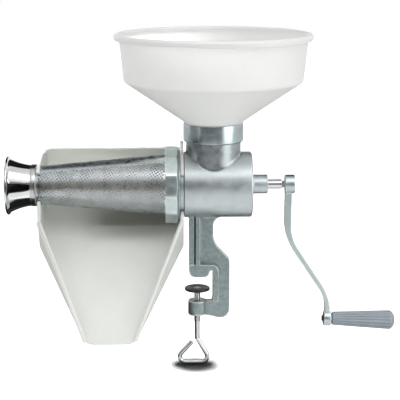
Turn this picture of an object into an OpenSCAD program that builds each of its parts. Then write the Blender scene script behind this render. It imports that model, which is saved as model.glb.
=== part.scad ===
// Hand-cranked food mill with a screw clamp, a lift-out hopper, a conical strainer and a catch chute.
// Frame: +X runs along the mill axis toward the crank, +Y away from the user, +Z up.
// Origin: underside of the upper clamp jaw, on the axis of the clamp screw.

/* [Mill axis and barrel] */
// Height of the mill axis above the jaw's underside
axis_z = 141; // [125:1:165]
// Outer radius of the barrel
barrel_r = 49; // [46:0.5:54]
// Radius of the barrel's bore
bore_r = 41.5; // [38:0.5:43]
// Length of the barrel's full-size body
barrel_len = 101; // [92:1:125]
// Thickness of the barrel's closed end wall
end_wall = 7.5; // [5:0.5:12]
// Left end of the barrel's full-size body
barrel_x0 = -19.6; // [-24:0.2:-16]
// Outer radius of the rear bearing boss
boss_r = 14.3; // [12.5:0.1:18]
// Length of the rear bearing boss
boss_len = 23.8; // [18:0.2:32]
// Radius of the neck that the chute clips on
clip_neck_r = 45; // [44:0.1:47]
// Width of the neck that the chute clips on
clip_neck_w = 6.6; // [6:0.1:9]
// Radius of the threaded spigot under the ring nut
spigot_r = 51; // [50:0.1:53]
// Length of the threaded spigot
spigot_len = 15; // [12:0.5:18]

/* [Feed neck] */
// Feed axis, measured from the clamp screw's axis
feed_x = 24; // [18:0.5:30]
// Outer radius of the feed neck
neck_r = 40.5; // [38:0.5:43]
// Radius of the feed bore
feed_bore_r = 34; // [30:0.5:36]
// Outer radius of the machined collar
collar_r = 44.5; // [42:0.5:48]
// Height of the machined collar
collar_h = 28; // [22:0.5:34]
// Top of the collar above the mill axis
collar_top = 93.5; // [86:0.5:104]
// Radius of the socket in the collar
socket_r = 38; // [37:0.5:39.5]
// Depth of the socket in the collar
socket_depth = 24; // [18:0.5:26]

/* [Leg and clamp] */
// Thickness of the leg's plate
web_t = 10; // [8:0.5:14]
// Width of the jaws and of the leg's ribs, front to back
jaw_w = 28; // [22:1:34]
// Outer face of the clamp's spine
spine_x1 = 49.2; // [46:0.2:56]
// Inner face of the clamp's spine
spine_x0 = 23.5; // [21:0.5:27]
// Top face of the throat's lower arm
arm_top_z = -38.5; // [-48:0.5:-36]
// Height of the screw boss
screw_boss_h = 22.5; // [16:0.5:26]
// Radius of the screw boss
screw_boss_r = 13.9; // [12:0.1:17]

/* [Hopper] */
// Outer radius of the hopper's rolled lip
hopper_lip_r = 145.4; // [120:0.2:165]
// Radius of the hopper where its wall meets the cone
hopper_knee_r = 132.2; // [110:0.2:150]
// Height of the hopper above its seat
hopper_h = 131; // [105:1:160]
// Height of the hopper's cone above its seat
hopper_cone_h = 62; // [50:1:75]
// Wall thickness of the hopper
hopper_wall = 2.8; // [2:0.1:4]

/* [Strainer] */
// Length of the conical screen
screen_len = 195; // [160:1:230]
// Outer radius of the screen at the discharge end
screen_tip_r = 27.9; // [25:0.1:31]
// Outer radius of the screen at the nut
screen_base_r = 46.2; // [44:0.1:46.4]
// Thickness of the screen's sheet
screen_t = 0.9; // [0.6:0.1:1.5]
// Radius of the discharge flare's bead
flare_rim_r = 44; // [38:0.5:52]
// Radius of the discharge flare's neck
flare_neck_r = 30.4; // [29.6:0.1:33]
// Length of the discharge flare
flare_len = 43; // [32:1:52]
// Corner radius of the twelve-sided ring nut
nut_r = 59; // [56:0.5:61]
// Length of the ring nut
nut_len = spigot_len + 6;

/* [Chute] */
// Outer radius of the chute's trough about the mill axis
trough_r = 68; // [65:0.5:76]
// Wall thickness of the trough, the ramp and its side walls
chute_t = 3.2; // [2.4:0.1:4.5]
// Thickness of the two clip walls
clip_wall_t = 5; // [4:0.1:5.4]
// Slope of the ramp below the horizontal, in degrees
ramp_slope = 40; // [30:1:48]
// Length of the ramp from the trough to the fold in its side walls
ramp_fold = 67; // [60:1:75]
// Length of the ramp from the trough to the spout's lip
ramp_len = 237; // [200:1:270]
// Rim of the side walls below the mill axis
side_rim_drop = 49; // [44:0.5:56]
// Width of the spout's lip
spout_w = 70; // [56:1:96]
// Offset of the spout from the middle of the trough
spout_shift = 2; // [0:0.5:10]

/* [Crank] */
// Radius of the drive shaft
shaft_r = 7; // [6:0.1:8]
// Gap between the rear boss and the crank's eye
crank_gap = 26; // [20:0.5:34]
// Width across the flats of the shaft's squared end
square_w = 10; // [8:0.1:11]
// Outer radius of the crank's eye
eye_r = 14; // [12:0.1:17]
// Length of the crank's eye
eye_len = 15; // [12:0.5:18]
// Distance between the crank's two eyes
crank_radius = 210.7; // [180:0.1:240]
// Sideways offset of the crank's lower eye
crank_offset = 62.5; // [50:0.5:80]
// Depth of the crank arm, front to back
arm_w = 13; // [10:0.5:18]
// Outer radius of the lower eye
lower_eye_r = 11.6; // [10:0.1:14]
// Length of the lower eye
lower_eye_len = 11.4; // [9:0.1:15]
// Length of the grip
grip_len = 97; // [80:1:120]
// Radius of the grip at the crank
grip_r0 = 10.4; // [9:0.1:13]
// Radius of the grip at its far end
grip_r1 = 14.6; // [12:0.1:18]
// Droop of the grip below the horizontal, in degrees
grip_droop = 2; // [0:0.5:4]
// Radius of the grip's pin
grip_pin_r = 3.6; // [3:0.1:4.5]

/* [Auger] */
// Pitch of the auger's flight
flight_pitch = 34; // [26:1:45]
// Radius of the auger's core at the crank end
core_r = 14; // [12:0.5:18]
// Gap between the flight and the screen or the bore
flight_gap = 1.2; // [0.8:0.1:2.5]

/* [Clamp screw] */
// Radius of the clamp screw's thread
screw_r = 4.9; // [4:0.1:6]
// Radius of the plain shank and of the bent handle
rod_r = 3.7; // [3:0.1:4.4]
// Top face of the swivel pad
pad_z = -19; // [-24:0.5:-8]
// Radius of the swivel pad
pad_r = 19.2; // [16:0.2:24]
// Thickness of the swivel pad
pad_t = 6; // [5:0.1:8]
// Length of the screw from its shoulder to the bent handle
screw_len = 75; // [66:1:90]

/* [Hidden] */
$fn = 72;
// clearances
run_gap = 0.06;       // shaft or thread in its bore
seat_gap = 0.2;       // flat faces of two bodies
free_gap = 0.4;       // loose parts
cut = 1;              // overrun of a cutting shape
// stations along the mill axis
barrel_x1 = barrel_x0 + barrel_len;
boss_x1 = barrel_x1 + boss_len;
clip_x0 = barrel_x0 - clip_neck_w;
spigot_x0 = clip_x0 - spigot_len;
inner_x1 = barrel_x1 - end_wall;
nut_x1 = clip_x0 - seat_gap;
nut_x0 = nut_x1 - nut_len;
nut_lip_t = 3.2;                               // flange of the nut that holds the screen
gasket_t = 1.4;
base_ring_t = 1.1;
gasket_x0 = spigot_x0 - gasket_t;
base_ring_x0 = gasket_x0 - seat_gap - base_ring_t;
screen_x1 = base_ring_x0;
screen_x0 = screen_x1 - screen_len;
collar_w = 6;                                // tip collar
tip_collar_x0 = screen_x0 - collar_w + 2.5;
flare_x1 = tip_collar_x0 + 2.5;
flare_x0 = flare_x1 - flare_len;
flare_t = 1.6;
flare_bead_r = 2;
eye_x0 = boss_x1 + crank_gap;
eye_x1 = eye_x0 + eye_len;
shaft_x1 = eye_x1 - 4.4;
// the feed
collar_z1 = axis_z + collar_top;
collar_z0 = collar_z1 - collar_h;
hopper_z0 = collar_z1 + seat_gap;
// bearings
bushing_r = 10;
seal_t = 3.4;
washer_t = 3;
hub_x1 = inner_x1 - washer_t - 2 * seat_gap;
shaft_x0 = hub_x1 - 34;
drive_pin_r = 2.5;
drive_pin_x = hub_x1 - 16;
// the crank's lower end
lower_eye_x = eye_x0 + crank_offset;
lower_eye_z = axis_z - crank_radius;
grip_washer_t = 1;
grip_x0 = lower_eye_len + grip_washer_t + 2 * seat_gap;
pin_end = grip_x0 + grip_len - 14;
// the chute
chute_x0 = screen_x0 + 2;
chute_x1 = barrel_x0 - (clip_neck_w - clip_wall_t) / 2;
trough_x0 = chute_x0 + 0.6;                  // the clip walls stand proud of the trough
trough_x1 = chute_x1 - 0.6;
trough_top_deg = 46;
clip_gap = 0.6;                              // left clip wall round the screen
ramp_start = trough_r * [sin(ramp_slope), -cos(ramp_slope)];
ramp_dir = [-cos(ramp_slope), -sin(ramp_slope)];
ramp_up = [-sin(ramp_slope), cos(ramp_slope)];
right_top_deg = 66;                          // how far the right clip wall wraps over the neck
right_lip_down = 46;                         // lower lip of the right clip wall's mouth
wall_lean = 14;                              // fold of the side walls off the ramp's square
taper_len = (ramp_len - ramp_fold) * cos(wall_lean);
spout_x0 = (trough_x0 + trough_x1 - spout_w) / 2 + spout_shift;
spout_x1 = spout_x0 + spout_w;
spout_lip_h = 6;
spout_round = 20;
// the clamp
rivet_r = 3;
rivet_head_r = 5.4;
rivet_head_t = 1.6;
pad_gap = 0.8;                               // lets the pad tilt
shoulder_z = pad_z - pad_t - pad_gap;
loop_top_z = shoulder_z - screw_len;
clamp_bore_r = screw_r + run_gap;

// ---------- helpers ----------

// points on a circular arc about c, from angle a0 to a1
function arc(c, r, a0, a1, n = 12) =
    [for (i = [0:n]) c + polar(r, a0 + (a1 - a0) * i / n)];

function unit(v) = v / norm(v);

function polar(r, deg) = r * [cos(deg), sin(deg)];

// a corner at b between a and c, rounded with radius r
function corner(a, b, c, r, n = 8) =
    let (
        u = unit(a - b),
        v = unit(c - b),
        half = acos(u * v) / 2,
        mid = b + unit(u + v) * r / sin(half),
        s = b + u * r / tan(half) - mid,
        e = b + v * r / tan(half) - mid,
        a0 = atan2(s[1], s[0]),
        turn = (atan2(e[1], e[0]) - a0 + 540) % 360 - 180
    ) arc(mid, r, a0, a0 + turn, n);

// radius of the screen's outside at a station
function screen_r(x) =
    screen_tip_r + (screen_base_r - screen_tip_r) * (x - screen_x0) / screen_len;

// a solid of revolution about the mill axis, from [radius, x] points
module turned(points) {
    translate([0, 0, axis_z]) rotate([0, 90, 0]) rotate_extrude() polygon(points);
}

// a plain ring about the mill axis
module ring(x0, len, outer, inner) {
    turned([[inner, x0], [outer, x0], [outer, x0 + len], [inner, x0 + len]]);
}

// a rod along the mill axis
module rod(x0, len, r) {
    translate([x0, 0, axis_z]) rotate([0, 90, 0]) cylinder(h = len, r = r);
}

// a flat outline in the XZ plane, given its depth front to back
module upright(depth) {
    rotate([90, 0, 0]) linear_extrude(depth, center = true) children();
}

// a flat outline in the YZ plane about the mill axis, extruded along X
module across(x0, len) {
    translate([x0, 0, axis_z]) rotate([90, 0, 90]) linear_extrude(len) children();
}

// the frame of the crank's lower eye and grip, with Z along the grip
module at_grip() {
    translate([lower_eye_x, 0, lower_eye_z]) rotate([0, 90 + grip_droop, 0]) children();
}

// ---------- body casting ----------

barrel_round = 3;
boss_fillet = 4;
barrel_outline = concat(
    [[0, spigot_x0], [spigot_r, spigot_x0], [spigot_r, clip_x0], [clip_neck_r, clip_x0],
     [clip_neck_r, barrel_x0], [barrel_r, barrel_x0]],
    arc([barrel_r - barrel_round, barrel_x1 - barrel_round], barrel_round, 0, 90, 6),
    arc([boss_r + boss_fillet, barrel_x1 + boss_fillet], boss_fillet, 270, 180, 6),
    [[boss_r, boss_x1], [0, boss_x1]]
);

// outline of the leg and C-shaped clamp, seen from the front
leg_x0 = -12.4;                              // left edge of the leg
leg_x1 = 24.4;                               // right edge of the leg
jaw_round = 9;
foot_x1 = 18.5;                              // right end of the upper jaw's foot
notch_r = (spine_x0 - foot_x1) / 2;
notch_z = 8;
leg_waist_z = 65;
waist_r = 32;
lobe_r = 13.8;
lobe_z = arm_top_z - 14.5;
boss_z0 = arm_top_z - screw_boss_h;
throat_edge = concat(
    arc([leg_x0 + jaw_round, jaw_round], jaw_round, 180, 270, 6),
    arc([foot_x1 - notch_z, notch_z], notch_z, 270, 360, 6),
    arc([foot_x1 + notch_r, notch_z], notch_r, 180, 0, 8),
    arc([spine_x0 - 2.5, arm_top_z + 2.5], 2.5, 0, -90, 4)
);
leg_outline = concat(
    [[leg_x0, axis_z - barrel_r + 12]],
    throat_edge,
    [[0, arm_top_z], [0, boss_z0 - 0.5], [screw_boss_r, boss_z0 - 1]],
    arc([spine_x1 - lobe_r, lobe_z], lobe_r, -105, 0, 10),
    corner([spine_x1, 0], [spine_x1, leg_waist_z - 38.5],
        [leg_x1 + waist_r * 0.3, leg_waist_z - 22.6], 8, 5),
    arc([leg_x1 + waist_r, leg_waist_z], waist_r, 225, 180, 8),
    arc([leg_x1 + 14, axis_z - barrel_r - 14], 14, 180, 90, 6),
    [[leg_x1 + 14, axis_z - barrel_r + 12]]
);

// raised rib along the clamp's throat
rib_w = 9;
rib_round = 11;
rib_z1 = 19.8;
throat_rib = concat(
    [[leg_x0, rib_z1]],
    throat_edge,
    [[spine_x0 + rib_w, arm_top_z]],
    arc([spine_x0 + rib_w - rib_round, rib_z1 - rib_round], rib_round, 0, 90, 8)
);

leg_rib_x = -2.6;                            // the leg's main rib
leg_rib_w = 7;
edge_rib_w = 7.4;                            // the leg's left edge rib
edge_rib_z0 = 17;

module leg() {
    rib_top = axis_z - barrel_r + 12;
    upright(web_t) polygon(leg_outline);
    upright(jaw_w) polygon(throat_rib);
    translate([leg_rib_x, -jaw_w / 2, jaw_round]) cube([leg_rib_w, jaw_w, rib_top - jaw_round]);
    translate([leg_x0, -jaw_w / 2 + 2, edge_rib_z0])
        cube([edge_rib_w, jaw_w - 4, rib_top - edge_rib_z0]);
    translate([0, 0, boss_z0]) cylinder(h = screw_boss_h, r = screw_boss_r);
}

neck_draft = 2.6;                            // how much the cast neck widens toward the barrel
neck_root_z = axis_z + 14;
neck_root_r = min(neck_r + neck_draft, feed_x - barrel_x0 - free_gap);

module feed_neck() {
    translate([feed_x, 0, axis_z]) cylinder(h = collar_top - collar_h + cut, r = neck_r);
    translate([feed_x, 0, neck_root_z])
        cylinder(h = collar_z0 - 8 - neck_root_z, r1 = neck_root_r, r2 = neck_r);
    translate([feed_x, 0, collar_z0]) cylinder(h = 2, r1 = collar_r - 2, r2 = collar_r);
    translate([feed_x, 0, collar_z0 + 2]) cylinder(h = collar_h - 3, r = collar_r);
    translate([feed_x, 0, collar_z1 - 1]) cylinder(h = 1, r1 = collar_r, r2 = collar_r - 1);
}

module body_casting() {
    color("silver") difference() {
        union() {
            turned(barrel_outline);
            feed_neck();
            leg();
        }
        rod(spigot_x0 - cut, inner_x1 - spigot_x0 + cut, bore_r);
        rod(inner_x1 - cut, end_wall + boss_len + 2 * cut, bushing_r);
        translate([feed_x, 0, axis_z]) cylinder(h = collar_top + cut, r = feed_bore_r);
        translate([feed_x, 0, collar_z1 - socket_depth]) cylinder(h = socket_depth + cut, r = socket_r);
        translate([0, 0, boss_z0 - cut - 5]) cylinder(h = screw_boss_h + 2 * cut + 5, r = clamp_bore_r);
    }
}

module screen_gasket() {
    color("white") ring(gasket_x0, gasket_t, spigot_r - 1, bore_r + 1);
}

module rear_bushing() {
    color("tan") ring(inner_x1 + seal_t, boss_x1 - inner_x1 - seal_t, bushing_r, shaft_r + run_gap);
}

module shaft_seal() {
    color("dimgray") ring(inner_x1, seal_t, bushing_r, shaft_r + run_gap);
}

// ---------- hopper ----------

lip_curl = 4.2;                              // outer radius of the rolled lip
lip_mid = [hopper_lip_r - lip_curl, hopper_h - lip_curl];
spigot_wall = 3;
hopper_inner = socket_r - run_gap - spigot_wall;
module hopper() {
    outside = concat(
        [[hopper_inner, -socket_depth + 1], [socket_r - run_gap, -socket_depth + 1],
         [socket_r - run_gap, 0], [collar_r - 0.5, 0], [collar_r - 0.1, 1.5]],
        corner([collar_r, 2], [hopper_knee_r, hopper_cone_h], lip_mid - [lip_curl, 0], 9),
        [lip_mid + [-lip_curl + hopper_wall * 0.4, -lip_curl]],
        arc(lip_mid, lip_curl - hopper_wall * 0.8, 165, 0, 8),
        [[hopper_lip_r - hopper_wall * 0.8, hopper_h - lip_curl - 4.4],
         [hopper_lip_r, hopper_h - lip_curl - 4.4]],
        arc(lip_mid, lip_curl, 0, 150, 10)
    );
    inside = concat(
        corner(lip_mid + [-lip_curl * 0.9, lip_curl * 0.5],
            [hopper_knee_r - hopper_wall, hopper_cone_h + hopper_wall * 0.7], [collar_r, 5], 7),
        [[collar_r - 4, 3.6], [hopper_inner, 1]]
    );
    color("white") translate([feed_x, 0, hopper_z0]) rotate_extrude() polygon(concat(outside, inside));
}

// ---------- strainer ----------

nut_turn = 6;                                // where the nut's corners stop when it is tight

module ring_nut() {
    color("darkgray") difference() {
        intersection() {
            translate([nut_x0, 0, axis_z])
                rotate([0, 90, 0]) rotate([0, 0, nut_turn]) cylinder(h = nut_len, r = nut_r, $fn = 12);
            turned([[0, nut_x0], [nut_r - 1.2, nut_x0], [nut_r + cut, nut_x0 + 2.2],
                [nut_r + cut, nut_x1 - 4.5], [nut_r - 9, nut_x1], [0, nut_x1]]);
        }
        rod(nut_x0 + nut_lip_t, nut_len, spigot_r + run_gap);
        rod(nut_x0 - cut, nut_len, screen_base_r + free_gap);
    }
}

module screen_cone() {
    color("lightgray") turned([
        [screen_tip_r - screen_t, screen_x0], [screen_tip_r, screen_x0],
        [screen_base_r, screen_x1], [screen_base_r - screen_t, screen_x1]]);
}

module screen_base_ring() {
    color("gainsboro") ring(base_ring_x0, base_ring_t, spigot_r - 0.6, screen_base_r - screen_t - 2);
}

module tip_collar() {
    inner = screen_tip_r - screen_t - 1;
    color("gainsboro") turned([
        [inner, tip_collar_x0], [flare_neck_r - flare_t, tip_collar_x0],
        [flare_neck_r - flare_t, flare_x1], [flare_neck_r + 0.4, flare_x1],
        [flare_neck_r + 0.4, screen_x0], [inner, screen_x0]]);
}

// outside of the flare, t running from the neck at 0 to the bead at 1, drawn in by a wall
function flare_point(t, inset) = [
    flare_neck_r - inset + (flare_rim_r - flare_neck_r - flare_bead_r) * pow(t, flare_curve),
    flare_x1 - (flare_len - flare_bead_r) * t];

flare_curve = 1.9;                           // how late the flare opens out
flare_steps = 8;

module discharge_flare() {
    color("silver") union() {
        turned(concat(
            [for (i = [0:flare_steps]) flare_point(i / flare_steps, 0)],
            [for (i = [flare_steps:-1:0]) flare_point(i / flare_steps, flare_t)]));
        translate([flare_x0 + flare_bead_r, 0, axis_z]) rotate([0, 90, 0])
            rotate_extrude() translate([flare_rim_r - flare_bead_r, 0]) circle(flare_bead_r, $fn = 24);
    }
}

// ---------- chute ----------

// point on the ramp, s along it and h above its underside
function on_ramp(s, h = 0) = ramp_start + ramp_dir * s + ramp_up * h;

// outline of the chute on its ramp, [x, distance past the fold]
ramp_plan = concat(
    [[trough_x0, -2 * trough_r], [trough_x0, 0]],
    corner([trough_x0, 0], [spout_x0, taper_len], [spout_x1, taper_len], spout_round),
    corner([spout_x0, taper_len], [spout_x1, taper_len], [trough_x1, 0], spout_round),
    [[trough_x1, 0], [trough_x1, -2 * trough_r]]
);

// inside of a side wall, run on past the spout so the spout is open
function inner_side(x_fold, x_end) =
    let (side = sign(x_end - x_fold) * chute_t, slope = atan((x_end - x_fold) / taper_len), past = 20)
    [[x_fold + side, -2 * trough_r],
     [x_fold + side, -chute_t * tan(abs(slope) / 2)],
     [x_end + side / cos(slope) + past * tan(slope), taper_len + past]];

module on_plan() {
    translate([0, on_ramp(ramp_fold)[0], axis_z + on_ramp(ramp_fold)[1]])
        rotate([180 + ramp_slope - wall_lean, 0, 0])
            translate([0, 0, -3 * trough_r]) linear_extrude(4 * trough_r) children();
}

// disc about the mill axis, kept from the start of the ramp up to an angle at the back
module back_sector(r, top_deg) {
    intersection() {
        circle(r);
        polygon([[0, 0], polar(3 * r, ramp_slope - 90), [3 * r, 0], polar(3 * r, top_deg)]);
    }
}

// clip wall that snaps round a neck, open toward the front
module clip_wall(x0, hole_r, top_deg, lip_up, lip_down) {
    reach = hole_r + 7;
    lower = polar(reach, 180 + lip_down);
    across(x0, clip_wall_t) difference() {
        union() {
            back_sector(trough_r, top_deg);
            polygon(concat(
                [polar(trough_r - 2, top_deg - 3), polar(hole_r, 0), ramp_start, on_ramp(ramp_fold - 2),
                 [lower[0], -side_rim_drop], [lower[0], lower[1] + 2]],
                arc([0, 0], reach, 186 - lip_up, 100, 6)));
        }
        circle(hole_r);
        polygon([[0, 0], polar(3 * reach, 180 - lip_up), [-3 * reach, 0], 3 * lower]);
    }
}

module chute() {
    inner_r = trough_r - chute_t;
    width = trough_x1 - trough_x0;
    rim_y = polar(clip_neck_r + free_gap + 7, 180 + right_lip_down)[0];
    color("whitesmoke") union() {
        across(trough_x0, width) difference() {
            back_sector(trough_r, trough_top_deg);
            circle(inner_r);
        }
        difference() {
            intersection() {
                across(trough_x0 - cut, width + 2 * cut) polygon([
                    ramp_start, on_ramp(ramp_len), on_ramp(ramp_len, spout_lip_h),
                    [rim_y, -side_rim_drop], [-20, -side_rim_drop],
                    on_ramp(ramp_fold - 8, chute_t), on_ramp(0, chute_t)]);
                on_plan() polygon(ramp_plan);
            }
            intersection() {
                across(trough_x0, width) polygon([
                    on_ramp(0, chute_t), on_ramp(ramp_len + 30, chute_t),
                    on_ramp(ramp_len + 30, trough_r), on_ramp(0, trough_r)]);
                on_plan() polygon(concat(
                    inner_side(trough_x0, spout_x0),
                    [for (i = [2:-1:0]) inner_side(trough_x1, spout_x1)[i]]));
            }
        }
        clip_wall(chute_x0, screen_r(chute_x0 + clip_wall_t) + clip_gap, trough_top_deg, 43, 41);
        clip_wall(chute_x1 - clip_wall_t, clip_neck_r + free_gap, right_top_deg, 26, right_lip_down);
    }
}

// ---------- auger and drive ----------

auger_x0 = screen_x0 + 8;
core_tip_r = 9;
flight_step = 18;                            // degrees of helix per section
flight_x1 = hub_x1 - 6;
flight_count = floor((flight_x1 - auger_x0) / flight_pitch * 360 / flight_step);

function core_at(x) =
    let (t = max(0, (spigot_x0 - x) / (spigot_x0 - auger_x0))) core_r + (core_tip_r - core_r) * t;

function flight_r(x) = min(bore_r, screen_r(min(x, screen_x1)) - screen_t) - flight_gap;

// one section of the flight: four points at a station
function flight_section(i) =
    let (
        x = auger_x0 + 2.5 + i * flight_pitch * flight_step / 360,
        a = -i * flight_step,
        inner = core_at(x) - 2,
        outer = flight_r(x)
    ) [for (p = [[inner, -2.4], [outer, -1.3], [outer, 1.3], [inner, 2.4]])
        [x + p[1], p[0] * cos(a), axis_z + p[0] * sin(a)]];

module flight() {
    points = [for (i = [0:flight_count], p = flight_section(i)) p];
    last = 4 * flight_count;
    faces = concat(
        [[0, 1, 2], [0, 2, 3], [last, last + 2, last + 1], [last, last + 3, last + 2]],
        [for (i = [0:flight_count - 1], k = [0:3])
            let (a = 4 * i + k, b = 4 * i + (k + 1) % 4) [a, a + 4, b + 4]],
        [for (i = [0:flight_count - 1], k = [0:3])
            let (a = 4 * i + k, b = 4 * i + (k + 1) % 4) [a, b + 4, b]]
    );
    polyhedron(points, faces, convexity = 10);
}

// the pin through the auger's hub and the shaft
module cross_pin(len, r) {
    translate([drive_pin_x, 0, axis_z]) cylinder(h = len, r = r, center = true);
}

module auger() {
    color("ivory") difference() {
        union() {
            turned([[0, auger_x0], [core_tip_r, auger_x0], [core_r, spigot_x0],
                [core_r, hub_x1], [0, hub_x1]]);
            flight();
        }
        rod(shaft_x0 - 1, hub_x1 - shaft_x0 + 1 + cut, shaft_r + run_gap);
        cross_pin(3 * core_r, drive_pin_r + run_gap);
    }
}

module thrust_washer() {
    color("goldenrod") ring(inner_x1 - seat_gap - washer_t, washer_t, core_r + 2, shaft_r + run_gap);
}

module drive_shaft() {
    color("lightsteelblue") difference() {
        union() {
            rod(shaft_x0, eye_x0 - 5 - shaft_x0, shaft_r);
            intersection() {
                rod(eye_x0 - 6, shaft_x1 - eye_x0 + 6, shaft_r);
                translate([eye_x0 - 6, -square_w / 2, axis_z - square_w / 2])
                    cube([shaft_x1 - eye_x0 + 6, square_w, square_w]);
            }
        }
        cross_pin(3 * core_r, drive_pin_r + run_gap);
        rod(shaft_x1 - 13, 13 + cut, crank_screw_r + run_gap);
    }
}

module drive_pin() {
    color("gray") cross_pin(2 * core_r - 1, drive_pin_r);
}

// ---------- crank ----------

crank_screw_r = 2.8;
crank_head_r = 6.6;
arm_x = eye_x0 + 5.4;                        // centre line of the arm's straight upper part
arm_top_w = 11;
arm_mid_w = 6.4;
arm_lean = 34.8;                             // slant of the arm's middle part from the vertical
bend_r1 = 79;
bend_r2 = 70;
bend_z1 = axis_z - 59;
bend_z2 = lower_eye_z + 12;
arm_end_x = lower_eye_x + lower_eye_len / 2;

// centre line of the crank arm from top to bottom
arm_path = concat(
    [[arm_x + 0.6, axis_z - 6], [arm_x, axis_z - 34]],
    arc([arm_x + bend_r1, bend_z1], bend_r1, 180, 180 + arm_lean, 8),
    arc([arm_end_x - bend_r2, bend_z2], bend_r2, arm_lean, 0, 8),
    [[arm_end_x, lower_eye_z + 4]]
);

// half width of the arm at a point of its path
function arm_half(i, n) =
    let (t = i / n) (arm_mid_w + (arm_top_w - arm_mid_w) * pow(1 - t, 2.2) + 2.2 * pow(t, 6)) / 2;

function path_normal(path, i) =
    let (
        a = path[max(i - 1, 0)],
        b = path[min(i + 1, len(path) - 1)],
        d = unit(b - a)
    ) [d[1], -d[0]];

function path_side(path, side) =
    let (n = len(path) - 1) [for (i = [0:n]) path[i] + side * arm_half(i, n) * path_normal(path, i)];

module crank_arm() {
    right = path_side(arm_path, -1);
    left = path_side(arm_path, 1);
    color("silver") difference() {
        union() {
            upright(arm_w) polygon(concat(left, [for (i = [len(right) - 1:-1:0]) right[i]]));
            rod(eye_x0, eye_len, eye_r);
            at_grip() cylinder(h = lower_eye_len, r = lower_eye_r);
        }
        translate([eye_x0 - cut, -square_w / 2 - run_gap, axis_z - square_w / 2 - run_gap])
            cube([shaft_x1 - eye_x0 + seat_gap + cut, square_w + 2 * run_gap, square_w + 2 * run_gap]);
        rod(shaft_x1 + seat_gap, eye_len, crank_head_r + run_gap);
        at_grip() translate([0, 0, -cut]) cylinder(h = lower_eye_len + 2 * cut, r = grip_pin_r + run_gap);
    }
}

module crank_screw() {
    color("gray") difference() {
        union() {
            rod(shaft_x1 + seat_gap, 3.6, crank_head_r);
            rod(shaft_x1 - 11, 11 + 2 * seat_gap, crank_screw_r);
        }
        translate([shaft_x1 + seat_gap + 1.6, 0, axis_z])
            rotate([0, 90, 0]) cylinder(h = 4, r = 2.9, $fn = 6);
    }
}

flute_count = 16;
flute_r = 1.7;
grip_shoulder = 3;
grip_dome = 9;

module grip() {
    mid = grip_len - grip_dome;
    color("slategray") at_grip() translate([0, 0, grip_x0]) difference() {
        rotate_extrude() polygon(concat(
            [[grip_pin_r + run_gap * 2, 0]],
            arc([grip_r0 - grip_shoulder, grip_shoulder], grip_shoulder, -90, 0, 5),
            [[grip_r1, mid]],
            [for (i = [1:7]) [grip_r1 * cos(i * 90 / 8), mid + grip_dome * sin(i * 90 / 8)]],
            [[0, grip_len], [0, pin_end - grip_x0 + 1], [grip_pin_r + run_gap * 2, pin_end - grip_x0 + 1]]));
        for (i = [0:flute_count - 1])
            rotate([0, 0, (i + 0.5) * 360 / flute_count])
                translate([grip_r0 + flute_r * 0.55, 0, 6])
                    rotate([0, atan((grip_r1 - grip_r0) / mid), 0])
                        cylinder(h = mid - 8, r = flute_r, $fn = 20);
    }
}

module grip_pin() {
    head_t = 2.4;
    color("dimgray") at_grip() union() {
        translate([0, 0, -head_t]) cylinder(h = head_t, r = grip_pin_r + 1);
        cylinder(h = pin_end, r = grip_pin_r);
    }
}

module grip_washer() {
    color("dimgray") at_grip() translate([0, 0, lower_eye_len + seat_gap]) difference() {
        cylinder(h = grip_washer_t, r = grip_pin_r + 2.4);
        translate([0, 0, -cut]) cylinder(h = grip_washer_t + 2 * cut, r = grip_pin_r + run_gap);
    }
}

// ---------- clamp screw ----------

loop_sides = 10;
loop_z0 = loop_top_z - 38;
loop_bend = 9;
// centre line of the bent handle in the XZ plane
loop_path = concat(
    [[0, loop_top_z + 8], [0, loop_top_z + 2], [1.4, loop_top_z - 3]],
    corner([0.5, loop_top_z - 1], [22, loop_z0], [-38, loop_z0], loop_bend),
    corner([22, loop_z0], [-38, loop_z0], [-4.5, loop_top_z - 1], loop_bend),
    [[-8, loop_top_z - 4.9]]
);

// one ring of points round the handle's centre line
function loop_ring(i) =
    let (n = path_normal(loop_path, i))
    [for (k = [0:loop_sides - 1]) let (a = k * 360 / loop_sides)
        [loop_path[i][0] + rod_r * cos(a) * n[0], rod_r * sin(a), loop_path[i][1] + rod_r * cos(a) * n[1]]];

module bent_handle() {
    n = len(loop_path);
    points = [for (i = [0:n - 1], p = loop_ring(i)) p];
    side = [for (i = [0:n - 2], k = [0:loop_sides - 1], half = [0, 1])
        let (a = i * loop_sides + k, b = i * loop_sides + (k + 1) % loop_sides)
            half == 0 ? [a, b + loop_sides, b] : [a, a + loop_sides, b + loop_sides]];
    ends = [[for (k = [0:loop_sides - 1]) k], [for (k = [loop_sides - 1:-1:0]) (n - 1) * loop_sides + k]];
    polyhedron(points, concat(side, ends), convexity = 6);
}

module clamp_screw() {
    thread_len = 48;
    color("darkgray") difference() {
        union() {
            translate([0, 0, shoulder_z - thread_len]) cylinder(h = thread_len, r = screw_r);
            translate([0, 0, loop_top_z]) cylinder(h = screw_len - thread_len, r = rod_r);
            bent_handle();
        }
        translate([0, 0, shoulder_z - 9]) cylinder(h = 9 + cut, r = rivet_r + run_gap);
    }
}

module swivel_pad() {
    color("dimgray") difference() {
        translate([0, 0, pad_z - pad_t]) rotate_extrude() polygon([
            [0, 0], [9, 0], [pad_r - 1, 2.2], [pad_r, 3],
            [pad_r, pad_t - 0.8], [pad_r - 0.8, pad_t], [0, pad_t]]);
        translate([0, 0, pad_z - pad_t - cut]) cylinder(h = pad_t + 2 * cut, r = rivet_r + free_gap);
        translate([0, 0, pad_z - rivet_head_t - pad_gap]) cylinder(h = pad_t, r = rivet_head_r + free_gap);
        translate([0, 0, pad_z - 0.6]) rotate_extrude() translate([9.5, 0]) square([3, 2]);
    }
}

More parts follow.
